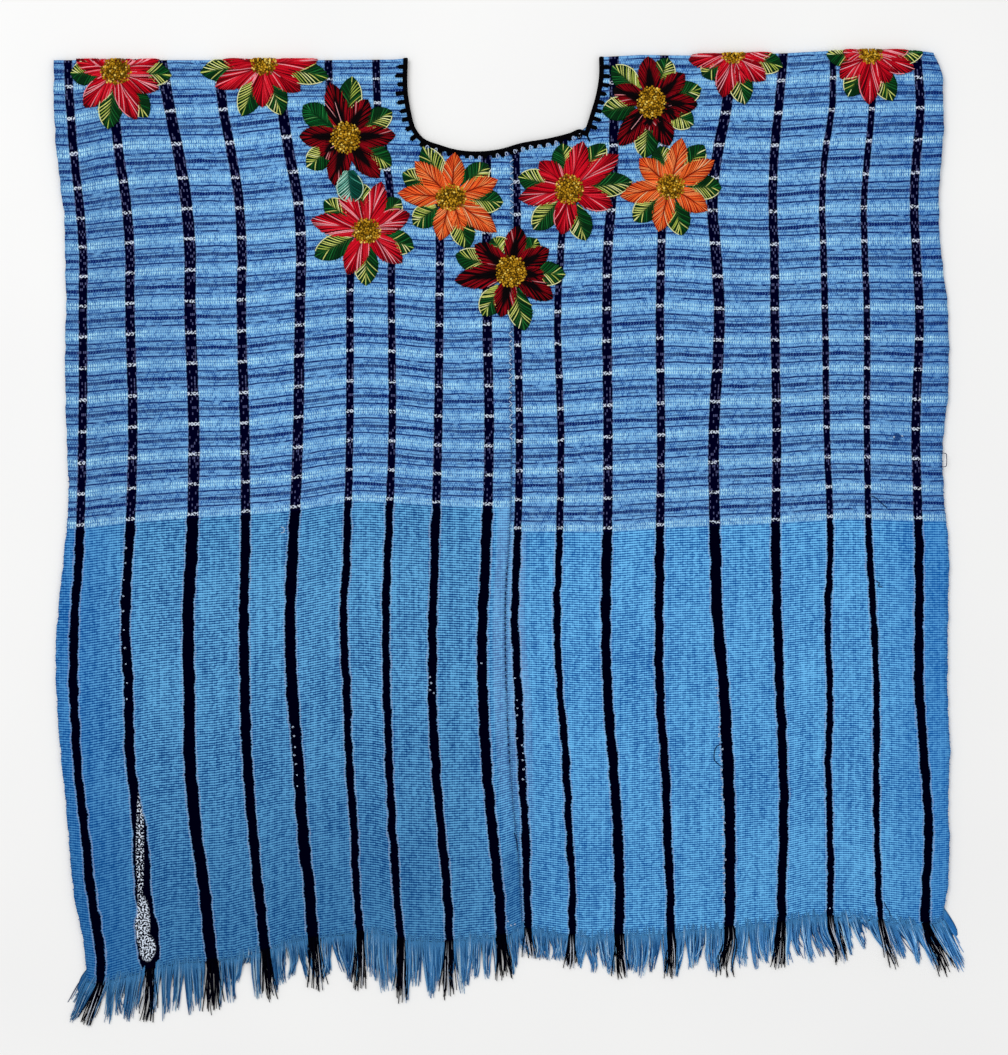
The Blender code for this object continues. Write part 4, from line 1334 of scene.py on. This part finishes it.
def web(path, half, narrow, dyes, root_dyes):
    """Matted yarn ends: flat tongues that narrow to a share of their width, dyed root and tip."""
    f = np.linspace(0, 1, YARN_RINGS)[None]
    wide = half[:, None] * (1 - (1 - narrow[:, None]) * f**2.2) * np.sqrt(1 - 0.9 * f**8)
    points, faces = tubes(path, wide, 0.2, sides=6)
    turn = smooth_step(f / 0.45)[..., None]
    tint = root_dyes[:, None] * (1 - turn) + dyes[:, None] * turn
    return points, faces, np.repeat(tint.reshape(-1, 3), 6, axis=0)


def stripe_ends(side):
    """Across places of a panel's stripes at the hem, and half their widths."""
    first, last = (1, 9) if side == "left" else (10, 18)
    numbers = np.arange(first, last + 1, dtype=float)
    x = warp_x(side, numbers, np.full((9, 1), -350.0))[:, 0]
    for _ in range(4):
        x = warp_x(side, numbers, hem(side, "y", x)[:, None])[:, 0]
    return x, np.array(STRIPE_HALF)[first - 1 : last] * MM_PER_PIXEL


def fringe_lean(side, x):
    """How far yarns lean to their sides at their tips, more at the lower left corner."""
    return hem(side, "lean", x) - 9 * smooth_step((-335 - x) / 25)


def black_bundles(side, layer, stripes, halves, random):
    """A bundle of black yarns at each stripe's end, with a short flat tongue under its root."""
    lean = fringe_lean(side, stripes)
    one = np.ones(len(stripes))
    path = hang(side, layer, stripes, stripes + lean * 0.3, 11.0 * one, 0.5 * one, one, 0.0, 0.5)
    black = np.tile(BUNDLE_DYE, (len(stripes), 1))
    parts = [web(path, halves, 0.7 * one, black, black)]
    per_bundle = YARNS_PER_BUNDLE if layer == "front" else YARNS_ON_BACK
    number = np.repeat(np.arange(len(stripes)), per_bundle)
    count = len(number)
    spread = random.uniform(-1, 1, count)
    roots = stripes[number] + spread * halves[number] * 0.95
    splay = spread * halves[number] * random.uniform(0.8, 2.7, count)
    tips = stripes[number] + splay + lean[number] + random.normal(0, 1.2, count)
    lengths = hem(side, "fringe", roots) * FRINGE_SHARE[layer] * random.uniform(0.78, 1.12, count)
    swing = sways(len(stripes), 1.6, random)[number] + sways(count, 1.3, random)
    tint = np.tile(BUNDLE_DYE, (count, 1)) * random.uniform(0.5, 2.5, (count, 1))
    tint[random.random(count) < 0.1] = dye(202, 210, 224)
    rise = random.uniform(0.9, 1.7, (count, 1)) if layer == "front" else 0.4
    above, bend = 2.0 * np.ones(count), 1.2 * np.ones(count)
    path = hang(side, layer, roots, tips, lengths, above, bend, swing, rise)
    parts.append(yarns(path, tint, BUNDLE_DYE, 0.46, random, 0.25))
    return parts


def make_fringe(side, layer, material):
    """Blue tufts along a hem, and a bundle of black yarns at each stripe."""
    random = np.random.default_rng(5 if side == "left" else 6)
    low, high = (-361.5, 12.5) if side == "left" else (13.2, 371.5)
    widths = TUFT_PITCH * random.uniform(0.7, 1.35, 60)
    middles = low + np.cumsum(widths) - widths / 2
    widths, middles = widths[middles < high], middles[middles < high]
    stripes, halves = stripe_ends(side)
    narrow = random.uniform(0.3, 0.85, len(middles))
    bends = random.uniform(1.0, 2.4, len(middles))
    bends[np.abs(middles) > 290] = 1.0
    tilt = fringe_lean(side, middles) + random.normal(0, 1.8, len(middles))
    long = hem(side, "fringe", middles) * FRINGE_SHARE[layer] * random.uniform(0.8, 1.08, len(middles))
    for notch, width in NOTCHES:
        place = float(from_photo(notch, 0)[0])
        long = long * (1 - 0.6 * (np.abs(middles - place) < width * MM_PER_PIXEL))
    swing = sways(len(middles), 1.3, random)
    tuft = np.repeat(np.arange(len(middles)), YARNS_PER_TUFT if layer == "front" else YARNS_ON_BACK)
    spread = random.uniform(-1, 1, len(tuft)) * 0.53 * widths[tuft]
    roots = np.clip(middles[tuft] + spread, low, high)
    clear = np.min(np.abs(roots[:, None] - stripes) - halves, axis=1) > 0.2
    roots, tuft, spread = roots[clear], tuft[clear], spread[clear]
    count = len(roots)
    tips = middles[tuft] + spread * narrow[tuft] + tilt[tuft]
    lengths = long[tuft] * random.uniform(0.72, 1.03, count)
    above = random.uniform(0, 8, count) * (random.random(count) < 0.5) * (layer == "front")
    rise = random.uniform(0.75, 1.5, (count, 1)) if layer == "front" else 0.4
    sway = swing[tuft] + sways(count, 1.0, random)
    path = hang(side, layer, roots, tips, lengths, above, bends[tuft], sway, rise)
    base = np.array(FRINGE_DYES)[random.choice(5, count, p=[0.3, 0.3, 0.18, 0.14, 0.08])]
    parts = [yarns(path, base * (1.0 + 0.0008 * roots)[:, None], ROOT_DYE, 0.4, random, 0.45)]
    bare = np.min(np.abs(middles[:, None] - stripes) - halves, axis=1) > 0.3 * TUFT_PITCH
    kept, flat = middles[bare], np.full(bare.sum(), 0.5)
    matted = random.uniform(0.45, 0.8, bare.sum())
    tips, lengths = kept + 0.8 * tilt[bare], long[bare] * matted
    path = hang(side, layer, kept, tips, lengths, flat, bends[bare], swing[bare], 0.45)
    # The tongues are darker than the strands over them: matted yarn, partly painted shade between the
    # strands
    tint = MATTED_AND_SHADE_DYE * random.uniform(0.8, 1.3, (len(kept), 1)) * (1.0 + 0.0006 * kept)[:, None]
    root_tint = ROOT_DYE * (1.0 + 0.0012 * kept)[:, None]
    parts.append(web(path, 0.54 * widths[bare], narrow[bare] * 0.8, tint, root_tint))
    points, faces, dyes = joined(parts + black_bundles(side, layer, stripes, halves, random))
    name, stands_for = f"{layer}_{side}_yarn_fringe", [f"{layer}_{side}_fringe"]
    return make_piece(name, points, faces, material, "fringe_yarn", stands_for, dye=dyes)


# Sewing

STITCH_DYES = {"blue": dye(58, 112, 178), "pale": dye(196, 214, 238), "dark": dye(10, 24, 70)}

# Marks over the seam: their dye, from and to which height of the photograph, their spacing up the
# seam and their slant
MARK_COLUMNS = ("dye", "top", "bottom", "spacing", "slant")
SEAM_MARKS = [
    ("pale", 330, 440, 4.0, 2.4),
    ("dark", 568, 690, 5.5, 0.3),
    ("dark", 715, 762, 7.0, 0.3),
    ("pale", 157, 215, 5.0, 3.0),
]

# Pale thread loops that stand out of the stripes: a place in the photograph's pixels
SPECK_COLUMNS = ("x", "y")
SPECKS = [
    (430, 677), (431, 683), (430, 690), (434, 693), (481.5, 663), (515, 678), (517, 700),
    (517.5, 708), (517, 715), (517, 738), (522, 745), (523, 753), (522.5, 760), (523.5, 769),
    (523, 779), (829.5, 908), (508, 921), (511, 925), (515, 924), (894, 437), (902, 436),
    (451, 190), (293, 727), (294, 736), (295, 747), (294.5, 755), (296, 764), (297, 775),
    (297.5, 786), (126, 548), (125.5, 563), (124, 580), (123.5, 596), (123, 611), (124, 630),
    (125, 648), (126, 664), (127, 683), (127, 699),
]

# The stripe with pale loops along its left edge: its number, from and to which height of the
# photograph and how far apart they lie, and how far from its middle
RAGGED_STRIPE = "14"
RAGGED_HEIGHTS = (680.0, 900.0, 7.5)
RAGGED_AWAY = 6.5

# Loose threads: their dye and the places in the photograph's pixels that they run through
LOOSE_THREADS = [
    ("dark", [(941, 453), (945.5, 453.5), (946.5, 456), (946.5, 464), (945.5, 466.5), (941, 467)]),
    ("dark", [(871, 496), (876, 498), (880, 502), (887, 508)]),
    ("dark", [(876, 581), (879, 583), (878, 586), (882, 587)]),
    ("dark", [(884, 902), (886, 907), (889, 911), (890, 916)]),
    ("blue", [(119, 588), (114, 590), (112, 594), (112, 600), (113, 605)]),
    ("dark", [(722, 743), (716, 747), (714, 754), (715, 761), (722, 767)]),
    ("pale", [(281, 527), (284, 528), (284, 532), (281, 533)]),
    ("dark", [(514, 832), (516, 838), (517, 845), (518, 851)]),
]


def threads(paths, radius, tint, put_on=lay):
    """Thin round threads along flat paths, with one dye."""
    points, faces = tubes(np.asarray(paths, float), radius, radius, sides=5)
    return put_on(points), faces, np.tile(tint, (len(points), 1))


def small_loops(x, y, random):
    """Open rings of thread about 1.5 mm wide at flat places, each turned its own way."""
    turn = np.linspace(0, 1.7 * np.pi, 8)[None] + random.uniform(0, 6.28, (len(x), 1))
    wide = random.uniform(0.45, 0.9, (len(x), 1))
    loop_x = x[:, None] + wide * np.cos(turn)
    loop_y = y[:, None] + 0.75 * wide * np.sin(turn)
    return np.stack([loop_x, loop_y, 0 * turn + 0.35], axis=-1)


def seam_stitches(random):
    """Slanted stitches over the centre seam, front and back, and dark or pale ones over them."""
    y = np.arange(-328.0, 322.0, 2.9)
    f = np.linspace(0, 1, 5)[None]
    x = edge("seam", y)[:, None] + 2.2 * (f - 0.5)
    rise = 0.1 + 0.4 * np.sin(np.pi * f)
    path = np.stack(np.broadcast_arrays(x, y[:, None] + 1.5 * f, rise), axis=-1)
    parts = [threads(path, 0.26, STITCH_DYES["blue"], put_on) for put_on in (lay, lay_on_back)]
    for mark in named(SEAM_MARKS, MARK_COLUMNS):
        low, high = (from_photo(0, mark[end])[1] for end in ("bottom", "top"))
        y = np.arange(low, high, mark["spacing"])
        y = y + random.normal(0, 0.4, len(y))
        way = np.where(np.arange(len(y)) % 2, 1, -1)[:, None]
        x = edge("seam", y)[:, None] - 0.4 + way * mark["slant"] * (f - 0.5)
        rise = 0.25 + 0.35 * np.sin(np.pi * f)
        path = np.stack(np.broadcast_arrays(x, y[:, None] + 2.4 * f, rise), axis=-1)
        parts.append(threads(path, 0.36, STITCH_DYES[mark["dye"]]))
    return parts


def side_stitches(random):
    """Whip stitches round both side edges below the armholes, joining front and back.

    A stitch goes from 2 mm inside the edge, over the front's face, round the edge and down to the
    back layer's side.
    """
    parts = []
    for side, sign, bottom in (("left", 1, -374.0), ("right", -1, -325.0)):
        y = np.arange(bottom, 66.0, 6.5)
        y = y + random.normal(0, 0.8, len(y))
        x = edge(side, y)
        inside = x + sign * 2.0
        top = on_cloth(inside, fold_start(inside) - y, 0.15)[:, 2]
        reach = np.array([2.0, 0.6, -0.45, -0.6, -0.1])[None]
        height = np.array([0.0, 0.15, -0.8, -2.2, -3.4])[None]
        out = np.maximum(top[:, None] + height, 0.4)
        path = [x[:, None] + sign * reach, y[:, None] + 0.5 * reach, out]
        points, faces = tubes(np.stack(path, axis=-1), 0.3, 0.3, sides=5)
        parts.append((points, faces, np.tile(STITCH_DYES["blue"], (len(points), 1))))
    return parts


def make_sewing(material):
    """Seam and side stitches, pale loops and loose threads, as one piece."""
    random = np.random.default_rng(77)
    parts = seam_stitches(random) + side_stitches(random)
    spots = (column(SPECKS, SPECK_COLUMNS, name) for name in SPECK_COLUMNS)
    spot_x, spot_y = from_photo(*spots)
    parts.append(threads(small_loops(spot_x, spot_y, random), 0.3, STITCH_DYES["pale"]))
    heights, stripe = (column(RIGHT_WARP, RIGHT_STRIPES, name) for name in ("y", RAGGED_STRIPE))
    ragged_y = np.arange(*RAGGED_HEIGHTS)
    ragged_y = ragged_y + random.normal(0, 1.5, len(ragged_y))
    ragged_x = smooth(heights, stripe, ragged_y) - RAGGED_AWAY
    ragged_x = ragged_x + random.normal(0, 0.8, len(ragged_y))
    ragged_x, ragged_y = from_photo(ragged_x, ragged_y)
    parts.append(threads(small_loops(ragged_x, ragged_y, random), 0.3, STITCH_DYES["pale"]))
    for tint, corners in LOOSE_THREADS:
        corners = np.array(corners, float)
        place = np.arange(len(corners), dtype=float)
        at = np.linspace(0, place[-1], 4 * len(corners))
        x, y = from_photo(smooth(place, corners[:, 0], at), smooth(place, corners[:, 1], at))
        path = np.stack([x, y, np.full(len(at), 0.35)], axis=-1)[None]
        parts.append(threads(path, 0.34, STITCH_DYES[tint]))
    points, faces, dyes = joined(parts)
    return make_piece("seams_and_loose_threads", points, faces, material, "fringe_yarn", dye=dyes)


# Camera, floor and light


def make_camera():
    """Camera straight above the middle of the photograph."""
    x, y = from_photo(PHOTO_WIDTH / 2, PHOTO_HEIGHT / 2)
    away = 2.6
    data = bpy.data.cameras.new("camera")
    data.sensor_width = 36.0
    data.lens = data.sensor_width * away / (PHOTO_HEIGHT * MM_PER_PIXEL * MM)
    camera = bpy.data.objects.new("camera", data)
    camera.location = (float(x) * MM, float(y) * MM, away + 0.003)
    bpy.context.collection.objects.link(camera)
    bpy.context.scene.camera = camera


def make_floor():
    """Plain pale floor."""
    material, tree, shader = new_material("pale floor", 0.9)
    tone = noise(object_pixels(tree), 0.004, 1.0)
    put(tree, mix(tone, dye(238, 238, 238), dye(244, 244, 243)), shader.inputs["Base Color"])
    mesh = bpy.data.meshes.new("floor")
    reach = 6.0
    low = -0.0002
    corners = [(x * reach, y * reach, low) for x, y in ((-1, -1), (1, -1), (1, 1), (-1, 1))]
    mesh.from_pydata(corners, [], [(0, 1, 2, 3)])
    mesh.materials.append(material)
    floor = bpy.data.objects.new("floor", mesh)
    bpy.context.collection.objects.link(floor)


def make_light():
    """Soft even light from above, a little stronger from the upper left."""
    for name, place, size, power in (
        ("key light", (-1.3, 1.5, 2.6), 2.0, 42.0),
        ("fill light", (1.6, -0.9, 2.8), 2.6, 15.0),
    ):
        data = bpy.data.lights.new(name, "AREA")
        data.size = size
        data.energy = power
        light = bpy.data.objects.new(name, data)
        light.location = place
        away = np.array(place)
        flat = math.hypot(away[0], away[1])
        light.rotation_euler = (math.atan2(flat, away[2]), 0, math.atan2(away[0], -away[1]))
        bpy.context.collection.objects.link(light)
    world = bpy.data.worlds.new("studio")
    world.use_nodes = True
    world.node_tree.nodes["Background"].inputs["Color"].default_value = (1, 1, 1, 1)
    world.node_tree.nodes["Background"].inputs["Strength"].default_value = 0.66
    bpy.context.scene.world = world
    bpy.context.scene.view_settings.view_transform = "Standard"


def main():
    make_camera()
    make_floor()
    make_light()
    cotton = woven_material()
    embroidery = thread_material("embroidery thread", 0.7, 0.05)
    black_yarn = thread_material("black binding yarn", 0.9)
    loose_yarn = thread_material("loose cotton yarn", 0.95)
    panels = {side: make_panel(side, cotton) for side in ("left", "right")}
    binding = make_binding(black_yarn)
    rows = enumerate(named(FLOWERS, FLOWER_COLUMNS), 1)
    flowers = [make_flower(number, row, embroidery) for number, row in rows]
    sewing = make_sewing(loose_yarn)
    for side in ("left", "right"):
        [make_fringe(side, layer, loose_yarn) for layer in ("front", "back")]


main()
